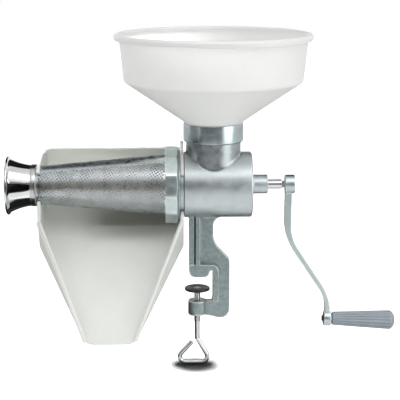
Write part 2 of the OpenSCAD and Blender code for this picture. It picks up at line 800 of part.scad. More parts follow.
module pad_rivet() {
    color("gray") union() {
        translate([0, 0, pad_z - rivet_head_t]) cylinder(h = rivet_head_t - 0.1, r = rivet_head_r);
        translate([0, 0, shoulder_z - 8]) cylinder(h = pad_z - rivet_head_t - shoulder_z + 8.5, r = rivet_r);
    }
}

body_casting();
screen_gasket();
rear_bushing();
shaft_seal();
hopper();
ring_nut();
screen_cone();
screen_base_ring();
tip_collar();
discharge_flare();
chute();
auger();
thrust_washer();
drive_shaft();
drive_pin();
crank_arm();
crank_screw();
grip();
grip_pin();
grip_washer();
clamp_screw();
swivel_pad();
pad_rivet();
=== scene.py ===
"""Visual model of a hand-cranked food mill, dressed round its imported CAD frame."""
import logging
import math
from dataclasses import dataclass
from enum import Enum
from typing import Any, Callable, Iterable, Optional, Sequence

import bmesh
import bpy
from mathutils import Matrix, Vector, kdtree


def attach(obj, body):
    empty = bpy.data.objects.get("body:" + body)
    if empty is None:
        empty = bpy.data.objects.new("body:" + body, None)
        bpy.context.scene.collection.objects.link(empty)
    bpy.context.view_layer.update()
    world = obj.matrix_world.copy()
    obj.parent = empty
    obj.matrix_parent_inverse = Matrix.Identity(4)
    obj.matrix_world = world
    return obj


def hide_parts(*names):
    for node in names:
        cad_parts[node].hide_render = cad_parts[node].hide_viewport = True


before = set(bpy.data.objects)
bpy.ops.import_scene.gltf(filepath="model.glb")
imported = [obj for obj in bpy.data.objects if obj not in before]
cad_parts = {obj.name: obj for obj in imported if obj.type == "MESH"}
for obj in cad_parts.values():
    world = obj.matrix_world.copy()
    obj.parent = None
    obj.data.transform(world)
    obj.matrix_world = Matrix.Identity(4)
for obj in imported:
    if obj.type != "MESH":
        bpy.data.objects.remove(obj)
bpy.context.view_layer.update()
LOG = logging.getLogger("food_mill")
logging.basicConfig(level=logging.INFO, format="%(name)s: %(message)s")

MM = 0.001                      # shapes are modelled in millimetres, and the scene is in metres
AXIS_Z = 141.0                  # height of the mill axis
AXIS = Vector((0.0, 0.0, AXIS_Z))
X, Y, Z = Vector((1, 0, 0)), Vector((0, 1, 0)), Vector((0, 0, 1))
Point2 = tuple[float, float]
Mesh = bmesh.types.BMesh
Corner = bmesh.types.BMVert
Piece = bpy.types.Object
Socket = bpy.types.NodeSocket
Tree = bpy.types.NodeTree


# ---------------------------------------------------------------- materials

def linear(hex_colour: str) -> tuple[float, float, float, float]:
    """Turns an sRGB hex colour to a linear RGBA colour.

    Args:
        hex_colour: six hex digits, with or without a leading hash.

    Returns:
        Red, green, blue and an alpha of 1, in linear light.
    """
    digits = hex_colour.lstrip("#")
    parts = [int(digits[i:i + 2], 16) / 255 for i in (0, 2, 4)]
    lit = [c / 12.92 if c <= 0.04045 else ((c + 0.055) / 1.055) ** 2.4 for c in parts]
    return (lit[0], lit[1], lit[2], 1.0)


def add_node(tree: Tree, kind: str, inputs: Optional[dict] = None, **settings: Any) -> bpy.types.Node:
    """Adds a shader node with its settings, values and links.

    Args:
        tree: node tree that takes the node.
        kind: node type, without its leading "ShaderNode".
        inputs: socket name or index, to a value or to the socket that feeds it.
        settings: attributes of the node itself.

    Returns:
        The new node.
    """
    node = tree.nodes.new("ShaderNode" + kind)
    for name, value in settings.items():
        setattr(node, name, value)
    for socket, value in (inputs or {}).items():
        if isinstance(value, Socket):
            tree.links.new(value, node.inputs[socket])
        else:
            node.inputs[socket].default_value = value
    return node


HOLLOW_SHADE_COLOUR = "20211f"           # colour of the painted shade in the hollows


class Marks(Enum):
    """Which way a tool or a mill left its marks on a surface."""

    NONE = "none"
    TURNED_X = "turned about the mill axis"
    TURNED_Z = "turned about the feed axis"
    DRAWN_X = "drawn along the mill axis"


@dataclass(frozen=True)
class Finish:
    """A surface, named for its material and how it was made."""

    name: str
    colour: str                      # main colour
    colour_low: str                  # colour in the darker mottles
    metallic: float = 0.0
    roughness: float = 0.5
    roughness_spread: float = 0.06   # how much the roughness wanders
    mottle_mm: float = 12.0          # size of the mottling
    grain_mm: float = 0.9            # size of the surface grain
    grain_depth_mm: float = 0.02     # height of the grain
    marks: Marks = Marks.NONE
    mark_mm: float = 0.5             # pitch of the tool marks
    mark_depth_mm: float = 0.0
    centre: tuple[float, float, float] = (0.0, 0.0, AXIS_Z)
    edge_wear_and_highlight: float = 0.0           # how far edges go to the worn and lit colour: wear, and a painted highlight
    worn_and_lit: str = "ffffff"
    ior: Optional[float] = None
    subsurface: float = 0.0
    hollow_shade: float = 0.0                # painted shade in the hollows

    def _marks(self, tree: Tree, place: Socket) -> Optional[Socket]:
        """Builds the height of the tool marks.

        Args:
            tree: node tree that takes the nodes.
            place: position on the object.

        Returns:
            The marks' height, or None where the finish has none.
        """
        if self.marks is Marks.NONE:
            return None
        if self.marks is Marks.DRAWN_X:
            long = add_node(tree, "Mapping", {"Vector": place, "Scale": (0.03, 1.0, 1.0)})
            streaks = add_node(tree, "TexNoise", {"Vector": long.outputs[0], "Scale": 1 / (self.mark_mm * MM),
                                                  "Detail": 3.0})
            return streaks.outputs["Fac"]
        along = (1.0, 0.0, 0.0) if self.marks is Marks.TURNED_X else (0.0, 0.0, 1.0)
        across = tuple(1.0 - c for c in along)
        centre = tuple(c * MM for c in self.centre)
        local = add_node(tree, "VectorMath", {0: place, 1: centre}, operation="SUBTRACT")
        radial = add_node(tree, "VectorMath", {0: local.outputs[0], 1: across}, operation="MULTIPLY")
        radius = add_node(tree, "VectorMath", {0: radial.outputs[0]}, operation="LENGTH")
        station = add_node(tree, "VectorMath", {0: local.outputs[0], 1: along}, operation="DOT_PRODUCT")
        total = add_node(tree, "Math", {0: radius.outputs["Value"], 1: station.outputs["Value"]},
                         operation="ADD")
        rings = add_node(tree, "TexNoise", {"W": total.outputs[0], "Scale": 1 / (self.mark_mm * MM),
                                            "Detail": 2.0}, noise_dimensions="1D")
        return rings.outputs["Fac"]

    def material(self) -> bpy.types.Material:
        """Builds the finish as a node material.

        Returns:
            The material, made once and reused after that.
        """
        known = bpy.data.materials.get(self.name)
        if known:
            return known
        made = bpy.data.materials.new(self.name)
        made.use_nodes = True
        tree = made.node_tree
        shader = tree.nodes["Principled BSDF"]
        place = add_node(tree, "TexCoord").outputs["Object"]
        mottle = add_node(tree, "TexNoise", {"Vector": place, "Scale": 1 / (self.mottle_mm * MM),
                                             "Detail": 4.0})
        grain = add_node(tree, "TexNoise", {"Vector": place, "Scale": 1 / (self.grain_mm * MM),
                                            "Detail": 3.0})
        share = add_node(tree, "MapRange", {"Value": mottle.outputs["Fac"], "From Min": 0.35,
                                            "From Max": 0.65})
        colour = add_node(tree, "Mix", {"Factor": share.outputs[0], "A": linear(self.colour_low),
                                        "B": linear(self.colour)}, data_type="RGBA").outputs["Result"]
        # Pointiness is 0.5 on a flat face, less in a hollow and more on an edge. Hollows get painted shade;
        # edges get wear and a painted highlight.
        for amount, tint, low, high in ((self.hollow_shade, HOLLOW_SHADE_COLOUR, 0.49, 0.44),
                                        (self.edge_wear_and_highlight, self.worn_and_lit, 0.505, 0.535)):
            if amount:
                point = add_node(tree, "NewGeometry").outputs["Pointiness"]
                there = add_node(tree, "MapRange", {"Value": point, "From Min": low, "From Max": high,
                                                    "To Max": amount})
                colour = add_node(tree, "Mix", {"Factor": there.outputs[0], "A": colour, "B": linear(tint)},
                                  data_type="RGBA").outputs["Result"]
        tree.links.new(colour, shader.inputs["Base Color"])
        spread = self.roughness_spread
        rough = add_node(tree, "MapRange", {
            "Value": mottle.outputs["Fac"], "From Min": 0.3, "From Max": 0.7,
            "To Min": self.roughness - spread, "To Max": self.roughness + spread}).outputs[0]
        marks = self._marks(tree, place)
        if marks:
            groove = add_node(tree, "MapRange", {"Value": marks, "From Min": 0.3, "From Max": 0.7,
                                                 "To Min": -0.5 * spread, "To Max": 0.5 * spread})
            rough = add_node(tree, "Math", {0: rough, 1: groove.outputs[0]}, operation="ADD").outputs[0]
        tree.links.new(rough, shader.inputs["Roughness"])
        bump = add_node(tree, "Bump", {"Height": grain.outputs["Fac"], "Strength": 1.0,
                                       "Distance": self.grain_depth_mm * MM})
        if marks and self.mark_depth_mm:
            bump = add_node(tree, "Bump", {"Height": marks, "Strength": 1.0, "Normal": bump.outputs[0],
                                           "Distance": self.mark_depth_mm * MM})
        tree.links.new(bump.outputs[0], shader.inputs["Normal"])
        shader.inputs["Metallic"].default_value = self.metallic
        if self.ior:
            shader.inputs["IOR"].default_value = self.ior
        if self.subsurface:
            shader.inputs["Subsurface Weight"].default_value = self.subsurface
            shader.inputs["Subsurface Radius"].default_value = (0.009, 0.009, 0.0085)    # metres
            shader.inputs["Subsurface Scale"].default_value = 1.0
        return made


# Sand-cast aluminium, tumbled: a dull grey with a fine skin. Its ribs and rims are lighter, worn and with a
# painted highlight, and its hollows hold painted shade.
CAST_ALUMINIUM = Finish("cast_aluminium_tumbled", "9ba8a8", "889495", metallic=1.0, roughness=0.42,
                        mottle_mm=6.0, grain_mm=1.1, grain_depth_mm=0.06, edge_wear_and_highlight=0.9, worn_and_lit="d4d8d6",
                        hollow_shade=0.7)
# The barrel's skin, cast and then linished: smooth enough for one broad soft highlight.
LINISHED_ALUMINIUM = Finish("cast_aluminium_linished", "c7ced0", "bbc3c5", metallic=1.0, roughness=0.42,
                            mottle_mm=14.0, grain_mm=0.7, grain_depth_mm=0.012, marks=Marks.TURNED_X,
                            mark_mm=1.2, mark_depth_mm=0.0015)
# Aluminium faced on a lathe about the feed axis: bright, with fine rings.
TURNED_COLLAR = Finish("turned_aluminium_collar", "bdc9cc", "b4bfc2", metallic=1.0, roughness=0.24,
                       roughness_spread=0.04, mottle_mm=20.0, grain_mm=0.6, grain_depth_mm=0.004,
                       marks=Marks.TURNED_Z, mark_mm=0.35, mark_depth_mm=0.006, centre=(24.0, 0.0, AXIS_Z))
# The neck below it, left as cast and brushed over: the same grey with a stipple in it.
NECK_ALUMINIUM = Finish("cast_aluminium_brushed", "acb3b5", "9aa1a3", metallic=1.0, roughness=0.32,
                        mottle_mm=9.0, grain_mm=1.1, grain_depth_mm=0.03)
# Pressure-cast nut, bright and satin, its facets' corners lighter: rubbed, and with a painted highlight.
NUT_ALUMINIUM = Finish("cast_aluminium_nut", "c4d0d0", "b9c5c5", metallic=1.0, roughness=0.36, mottle_mm=9.0,
                       grain_mm=0.6, grain_depth_mm=0.01, edge_wear_and_highlight=0.6, worn_and_lit="dfe2e1")
# Chrome plate over polished steel: a near mirror, with hairline wipe marks that only show in highlights.
CHROME = Finish("chrome_plate_polished", "d9dcdd", "d3d6d7", metallic=1.0, roughness=0.07,
                roughness_spread=0.03, mottle_mm=25.0, grain_mm=3.0, grain_depth_mm=0.002)
# Perforated stainless sheet, rolled to a cone: satin, drawn lengthways.
PERFORATED_STEEL = Finish("stainless_sheet_perforated", "cbd1d4", "bfc5c8", metallic=1.0, roughness=0.3,
                          roughness_spread=0.06, mottle_mm=10.0, grain_mm=0.8, grain_depth_mm=0.006,
                          marks=Marks.DRAWN_X, mark_mm=0.6, mark_depth_mm=0.004)
# The same steel, rolled and spot-welded to bands.
BAND_STEEL = Finish("stainless_band_satin", "c6c8c6", "bcbebc", metallic=1.0, roughness=0.25, mottle_mm=10.0,
                    grain_mm=0.8, grain_depth_mm=0.004)
# Stainless sheet, spun and buffed: clear bands of light and dark.
POLISHED_STEEL = Finish("stainless_spun_buffed", "e2e3e2", "dcdddc", metallic=1.0, roughness=0.1,
                        roughness_spread=0.03, mottle_mm=20.0, grain_mm=1.5, grain_depth_mm=0.003,
                        marks=Marks.TURNED_X, mark_mm=0.5, mark_depth_mm=0.001)
# Injection-moulded polypropylene, white: a soft sheen, and light that spreads inside it and softens shade.
HOPPER_PLASTIC = Finish("polypropylene_moulded_hopper", "e8e9e6", "e4e5e2", roughness=0.38, mottle_mm=60.0,
                        roughness_spread=0.03, grain_mm=0.7, grain_depth_mm=0.006, ior=1.49, subsurface=1.0)
# The chute is a greyer batch of the same plastic, with a spark-eroded mould texture.
CHUTE_PLASTIC = Finish("polypropylene_moulded_chute", "dddfdb", "d8dad6", roughness=0.45, mottle_mm=50.0,
                       roughness_spread=0.04, grain_mm=0.7, grain_depth_mm=0.01, ior=1.49, subsurface=0.3)
# Moulded grip plastic, blue-grey, dulled where hands rub the flutes' crests.
GRIP_PLASTIC = Finish("nylon_moulded_grip", "8f98a0", "868f98", roughness=0.42, mottle_mm=16.0, grain_mm=0.5,
                      grain_depth_mm=0.012, ior=1.53, edge_wear_and_highlight=0.35, worn_and_lit="aab2b9")
# Hot-blacked steel under a film of oil.
BLACKED_STEEL = Finish("steel_oil_blacked", "2b2c2c", "202121", metallic=1.0, roughness=0.34, mottle_mm=5.0,
                       grain_mm=0.6, grain_depth_mm=0.01, edge_wear_and_highlight=0.15, worn_and_lit="8a8c8b")
# Cold-drawn steel bar with a dulled zinc plate, with painted shade in the thread's roots.
SCREW_STEEL = Finish("steel_zinc_dulled", "d0d2d2", "bfc2c2", metallic=1.0, roughness=0.1, mottle_mm=4.0,
                     grain_mm=0.5, grain_depth_mm=0.008, hollow_shade=0.6)
# Bright zinc-plated screws and pins.
ZINC_STEEL = Finish("steel_zinc_plated", "b4b7b8", "a3a6a8", metallic=1.0, roughness=0.3, mottle_mm=4.0,
                    grain_mm=0.5, grain_depth_mm=0.005)
# Moulded nylon, ivory, glossy from the feed's rubbing.
AUGER_NYLON = Finish("nylon_moulded_auger", "dcd6c6", "d2ccbb", roughness=0.34, mottle_mm=18.0, grain_mm=0.8,
                     grain_depth_mm=0.01, ior=1.53)
# Sintered bronze bushes, dark and oily.
SINTERED_BRONZE = Finish("bronze_sintered", "a37a3f", "8a6532", metallic=1.0, roughness=0.45, mottle_mm=2.5,
                         grain_mm=0.3, grain_depth_mm=0.02)
# Food-grade gasket rubber, off-white and matt.
GASKET_RUBBER = Finish("silicone_gasket", "dcdbd5", "d2d1cb", roughness=0.6, mottle_mm=8.0, grain_mm=0.5,
                       grain_depth_mm=0.01, ior=1.41)
# Black nitrile shaft seal.
SEAL_RUBBER = Finish("nitrile_seal", "1f1f1f", "171717", roughness=0.55, mottle_mm=5.0, grain_mm=0.5,
                     grain_depth_mm=0.01, ior=1.52)


# ---------------------------------------------------------------- modelling helpers

def soften(corners: Sequence[tuple[float, float, float]], closed: bool = True,
           steps: int = 4) -> list[Point2]:
    """Rounds the corners of an outline.

    Args:
        corners: (first, second, rounding radius) of each corner.
        closed: whether the last corner joins the first.
        steps: segments in each rounded corner.

    Returns:
        The outline's points.
    """
    count, points = len(corners), []
    for i, (a, b, radius) in enumerate(corners):
        here = Vector((a, b))
        if radius <= 0 or (not closed and i in (0, count - 1)):
            points.append((a, b))
            continue
        back = Vector(corners[i - 1][:2]) - here
        ahead = Vector(corners[(i + 1) % count][:2]) - here
        u, v = back.normalized(), ahead.normalized()
        half = math.acos(max(-1.0, min(1.0, u.dot(v)))) / 2
        reach = min(radius / math.tan(half), 0.49 * back.length, 0.49 * ahead.length)
        start, end = here + u * reach, here + v * reach
        mid = here + (u + v).normalized() * (reach / math.cos(half))
        spread = reach * math.tan(half)
        first = start - mid
        turn = (end - mid).angle_signed(first) if spread > 1e-6 else 0.0
        for k in range(steps + 1):
            angle = turn * k / steps
            c, s = math.cos(angle), math.sin(angle)
            points.append((mid.x + first.x * c - first.y * s, mid.y + first.x * s + first.y * c))
    return points


def arc_points(centre: Point2, radius: float, start: float, end: float, steps: int) -> list[Point2]:
    """Sets out points on a circular arc.

    Args:
        centre: the arc's centre.
        radius: its radius.
        start: angle of the first point, in degrees.
        end: angle of the last point.
        steps: segments in the arc.

    Returns:
        The points, one more than the segments.
    """
    return [(centre[0] + radius * math.cos(math.radians(start + (end - start) * k / steps)),
             centre[1] + radius * math.sin(math.radians(start + (end - start) * k / steps)))
            for k in range(steps + 1)]


def turn_about_x(bm: Mesh, profile: Sequence[Point2], steps: int = 96, closed: bool = True,
                 phase: float = 0.0) -> list[Corner]:
    """Spins a profile about the mill axis.

    Args:
        bm: mesh that takes the shape.
        profile: (radius, x) points.
        steps: segments in the turn.
        closed: whether the profile's last point joins its first.
        phase: angle that the profile is turned by first, in radians.

    Returns:
        The new vertices.
    """
    return _spin(bm, [AXIS + Vector((x, 0, r)) for r, x in profile], AXIS, X, steps, closed, phase)


def turn_about_z(bm: Mesh, profile: Sequence[Point2], centre: Point2 = (0.0, 0.0), steps: int = 96,
                 closed: bool = True) -> list[Corner]:
    """Spins a profile about a vertical axis.

    Args:
        bm: mesh that takes the shape.
        profile: (radius, z) points.
        centre: where the axis stands, in x and y.
        steps: segments in the turn.
        closed: whether the profile's last point joins its first.

    Returns:
        The new vertices.
    """
    return _spin(bm, [Vector((centre[0] + r, centre[1], z)) for r, z in profile],
                 Vector((centre[0], centre[1], 0)), Z, steps, closed, 0.0)


def _spin(bm: Mesh, points: Sequence[Vector], centre: Vector, axis: Vector, steps: int, closed: bool,
          phase: float) -> list[Corner]:
    """Spins a chain of points through a full turn and closes its seam and poles.

    Args:
        bm: mesh that takes the shape.
        points: the chain.
        centre: a point of the axis.
        axis: the axis's direction.
        steps: segments in the turn.
        closed: whether the chain's last point joins its first.
        phase: angle that the chain is turned by first, in radians.

    Returns:
        The new vertices.
    """
    before = set(bm.verts)
    verts = [bm.verts.new(p) for p in points]
    pairs = list(zip(verts, verts[1:])) + ([(verts[-1], verts[0])] if closed else [])
    edges = [bm.edges.new(pair) for pair in pairs]
    if phase:
        bmesh.ops.rotate(bm, cent=centre, matrix=Matrix.Rotation(phase, 3, axis), verts=verts)
    bmesh.ops.spin(bm, geom=verts + edges, cent=centre, axis=axis, angle=math.tau, steps=steps,
                   use_merge=True)
    made = [v for v in bm.verts if v not in before]
    bmesh.ops.remove_doubles(bm, verts=made, dist=1e-4)
    return [v for v in bm.verts if v not in before]


def wind(bm: Mesh, section: Sequence[Vector], centre: Vector, axis: Vector, lead: Vector, turns: float,
         per_turn: int) -> list[Corner]:
    """Winds a closed section into a thread with filled ends.

    Args:
        bm: mesh that takes the thread.
        section: the section's corners, where the thread starts.
        centre: a point of the axis.
        axis: the axis's direction.
        lead: how far one turn carries the section.
        turns: how many turns.
        per_turn: segments in a turn.

    Returns:
        The new vertices.
    """
    before, steps = set(bm.verts), int(turns * per_turn)
    verts = [bm.verts.new(corner) for corner in section]
    edges = [bm.edges.new(pair) for pair in zip(verts, verts[1:] + verts[:1])]
    last = bmesh.ops.spin(bm, geom=verts + edges, cent=centre, axis=axis, angle=math.tau * turns, steps=steps,
                          dvec=lead * (turns / steps))["geom_last"]
    for ring in (edges, [part for part in last if isinstance(part, bmesh.types.BMEdge)]):
        bmesh.ops.contextual_create(bm, geom=ring)
    return [v for v in bm.verts if v not in before]


def trim(bm: Mesh, at: Vector, way: Vector) -> None:
    """Trims off what lies past a plane.

    Args:
        bm: mesh that is trimmed.
        at: a point of the plane.
        way: the side that goes.
    """
    bmesh.ops.bisect_plane(bm, geom=bm.verts[:] + bm.edges[:] + bm.faces[:], dist=1e-5, plane_co=at,
                           plane_no=way, clear_outer=True)


def pull(bm: Mesh, section: Sequence[Vector], stations: Sequence[Matrix], caps: bool = True) -> None:
    """Pulls a closed section through a row of stations and caps its ends.

    Args:
        bm: mesh that takes the shape.
        section: the section's corners, about its own origin.
        stations: where the section stands, from the first end to the last.
        caps: whether the ends are filled.
    """
    verts = [bm.verts.new(stations[0] @ p) for p in section]
    edges = [bm.edges.new(pair) for pair in zip(verts, verts[1:] + verts[:1])]
    first, previous = list(edges), stations[0]
    for station in stations[1:]:
        made = bmesh.ops.extrude_edge_only(bm, edges=edges)["geom"]
        verts = [g for g in made if isinstance(g, Corner)]
        fresh = set(verts)
        edges = [g for g in made if isinstance(g, bmesh.types.BMEdge) and set(g.verts) <= fresh]
        bmesh.ops.transform(bm, matrix=station @ previous.inverted(), verts=verts)
        previous = station
    if caps:
        for ring in (first, edges):
            bmesh.ops.contextual_create(bm, geom=ring)


def along(path: Sequence[Vector], up: Vector) -> list[Matrix]:
    """Stands stations along a path.

    Args:
        path: points of the path.
        up: way that each station's local Y keeps near.

    Returns:
        The stations, their local Z on the path.
    """
    stations = []
    for i, here in enumerate(path):
        ahead = (path[min(i + 1, len(path) - 1)] - path[max(i - 1, 0)]).normalized()
        side = up.cross(ahead).normalized()
        level = ahead.cross(side)
        turn = Matrix((side, level, ahead)).transposed().to_4x4()
        stations.append(Matrix.Translation(here) @ turn)
    return stations


def at_radius(point: Vector, radius: float, centre: Vector = AXIS, axis: Vector = X) -> Vector:
    """Moves a point straight in or out from an axis.

    Args:
        point: the point, in millimetres.
        radius: how far from the axis it ends.
        centre: a point of the axis.
        axis: the axis's direction.

    Returns:
        The moved point.
    """
    level = centre + axis * (point - centre).dot(axis)
    return level + (point - level).normalized() * radius


def disc(radius: float, count: int) -> list[Vector]:
    """Corners of a round section."""
    return [Vector((*point, 0)) for point in arc_points((0, 0), radius, 0, 360, count)[:-1]]


def linked(bm: Mesh, name: str) -> Piece:
    """Turns a mesh into an object of the scene.

    Args:
        bm: the mesh, in metres, which is freed.
        name: the object's name.

    Returns:
        The object.
    """
    mesh = bpy.data.meshes.new(name)
    bm.to_mesh(mesh)
    bm.free()
    made = bpy.data.objects.new(name, mesh)
    bpy.context.scene.collection.objects.link(made)
    return made


def settle(bm: Mesh, name: str, body: str, finish: Finish, replaces: Iterable[str] = (),
           sharp: float = 35.0) -> Piece:
    """Turns a mesh in millimetres into a finished piece of the object.

    Args:
        bm: the closed mesh, which is freed.
        name: the piece's name.
        body: the CAD body that it rides on.
        finish: its surface.
        replaces: CAD nodes that it stands for.
        sharp: angle, in degrees, past which an edge shades as sharp.

    Returns:
        The piece's object.
    """
    bmesh.ops.remove_doubles(bm, verts=bm.verts, dist=1e-4)
    bmesh.ops.recalc_face_normals(bm, faces=bm.faces)
    bmesh.ops.scale(bm, vec=(MM, MM, MM), verts=bm.verts)
    return dress(linked(bm, name), body, finish, replaces, sharp)


def dress(piece: Piece, body: str, finish: Finish, replaces: Iterable[str] = (),
          sharp: float = 35.0) -> Piece:
    """Gives a piece its material, shading, body and the nodes that it replaces.

    Args:
        piece: the piece, its mesh in metres.
        body: the CAD body that it rides on.
        finish: its surface.
        replaces: CAD nodes that it stands for.
        sharp: angle, in degrees, past which an edge shades as sharp.

    Returns:
        The same piece.
    """
    piece.data.materials.clear()
    piece.data.materials.append(finish.material())
    piece.data.shade_smooth()
    piece.data.set_sharp_from_angle(angle=math.radians(sharp))
    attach(piece, body)
    if replaces:
        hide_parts(*replaces)
    LOG.info("%s: %d faces on %s", piece.name, len(piece.data.polygons), body)
    return piece


def apply_modifiers(piece: Piece) -> None:
    """Bakes a piece's modifiers into its mesh.

    Args:
        piece: the piece, which keeps none of them.
    """
    bpy.context.view_layer.update()
    graph = bpy.context.evaluated_depsgraph_get()
    mesh = bpy.data.meshes.new_from_object(piece.evaluated_get(graph))
    piece.modifiers.clear()
    piece.data = mesh


def cast_shell(bm: Mesh, name: str, grain_mm: float, smooth: int, keep: float = 1.0) -> Piece:
    """Fuses overlapping closed shapes into one skin with soft fillets, as a casting or moulding has.

    Args:
        bm: overlapping closed shapes in millimetres, which is freed.
        name: the piece's name.
        grain_mm: size of the remesh's cells.
        smooth: rounds of smoothing, which set the fillets.
        keep: share of the faces that is kept.

    Returns:
        An object that isn't dressed yet.
    """
    bmesh.ops.scale(bm, vec=(MM, MM, MM), verts=bm.verts)
    piece = linked(bm, name)
    skin = piece.modifiers.new("skin", "REMESH")
    skin.mode, skin.voxel_size = "VOXEL", grain_mm * MM
    soft = piece.modifiers.new("fillets", "SMOOTH")
    soft.factor, soft.iterations = 0.5, smooth
    if keep < 1.0:
        thin = piece.modifiers.new("thin", "DECIMATE")
        thin.ratio = keep
    apply_modifiers(piece)
    return piece


def clean(piece: Piece) -> None:
    """Merges what a move or a cut has brought together, and mends where this folds faces flat.

    Args:
        piece: the piece, its mesh in metres.
    """
    bm = bmesh.new()
    bm.from_mesh(piece.data)
    bmesh.ops.remove_doubles(bm, verts=bm.verts, dist=0.01 * MM)
    bmesh.ops.dissolve_degenerate(bm, edges=bm.edges, dist=0.01 * MM)
    bmesh.ops.triangulate(bm, faces=bm.faces)
    for _ in range(3):
        corners: dict[frozenset, list] = {}
        for face in bm.faces:
            corners.setdefault(frozenset(face.verts), []).append(face)
        folded = [face for faces in corners.values() if len(faces) > 1 for face in faces]
        bmesh.ops.delete(bm, geom=folded, context="FACES")
        crowded = {face for edge in bm.edges if len(edge.link_faces) not in (0, 2)
                   for face in edge.link_faces}
        bmesh.ops.delete(bm, geom=list(crowded), context="FACES")
        bmesh.ops.delete(bm, geom=[edge for edge in bm.edges if edge.is_wire], context="EDGES")
        bmesh.ops.holes_fill(bm, edges=[edge for edge in bm.edges if edge.is_boundary], sides=0)
        bmesh.ops.triangulate(bm, faces=bm.faces)
    bmesh.ops.recalc_face_normals(bm, faces=bm.faces)
    bm.to_mesh(piece.data)
    bm.free()


def node_copy(bm: Mesh, node: str) -> None:
    """Adds a merged copy of a CAD node's mesh, in millimetres.

    Args:
        bm: mesh that takes the copy.
        node: the node's name.
    """
    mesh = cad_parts[node].data
    start = set(bm.verts)
    bm.from_mesh(mesh)
    made = [v for v in bm.verts if v not in start]
    bmesh.ops.scale(bm, vec=(1 / MM, 1 / MM, 1 / MM), verts=made)
    bmesh.ops.remove_doubles(bm, verts=made, dist=1e-3)


def cut_away(piece: Piece, make: Callable[[Mesh], None]) -> None:
    """Cuts a closed shape out of a piece.

    Args:
        piece: the piece, its mesh in metres.
        make: adds the shape, in millimetres, to an empty mesh.
    """
    bm = bmesh.new()
    make(bm)
    bmesh.ops.recalc_face_normals(bm, faces=bm.faces)
    bmesh.ops.scale(bm, vec=(MM, MM, MM), verts=bm.verts)
    cutter = linked(bm, "cutter")
    cut = piece.modifiers.new("cut", "BOOLEAN")
    cut.object, cut.operation, cut.solver = cutter, "DIFFERENCE", "EXACT"
    apply_modifiers(piece)
    bpy.data.meshes.remove(cutter.data)


def keep_node(node: str, finish: Finish, bevel_mm: float = 0.25) -> None:
    """Dresses a CAD node that keeps its own shape, and breaks its sharp edges.

    Args:
        node: the node's name.
        finish: its surface.
        bevel_mm: width of the broken edges.
    """
    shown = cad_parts[node]
    if not shown.data.materials:
        shown.data.materials.append(finish.material())
    for i in range(len(shown.data.materials)):
        shown.data.materials[i] = finish.material()
    weld = shown.modifiers.new("weld", "WELD")
    weld.merge_threshold = 0.01 * MM
    edge = shown.modifiers.new("broken_edges", "BEVEL")
    edge.width, edge.segments, edge.limit_method = bevel_mm * MM, 2, "ANGLE"
    edge.angle_limit = math.radians(40)
    LOG.info("%s: kept from the frame", node)


# ---------------------------------------------------------------- sub-assemblies

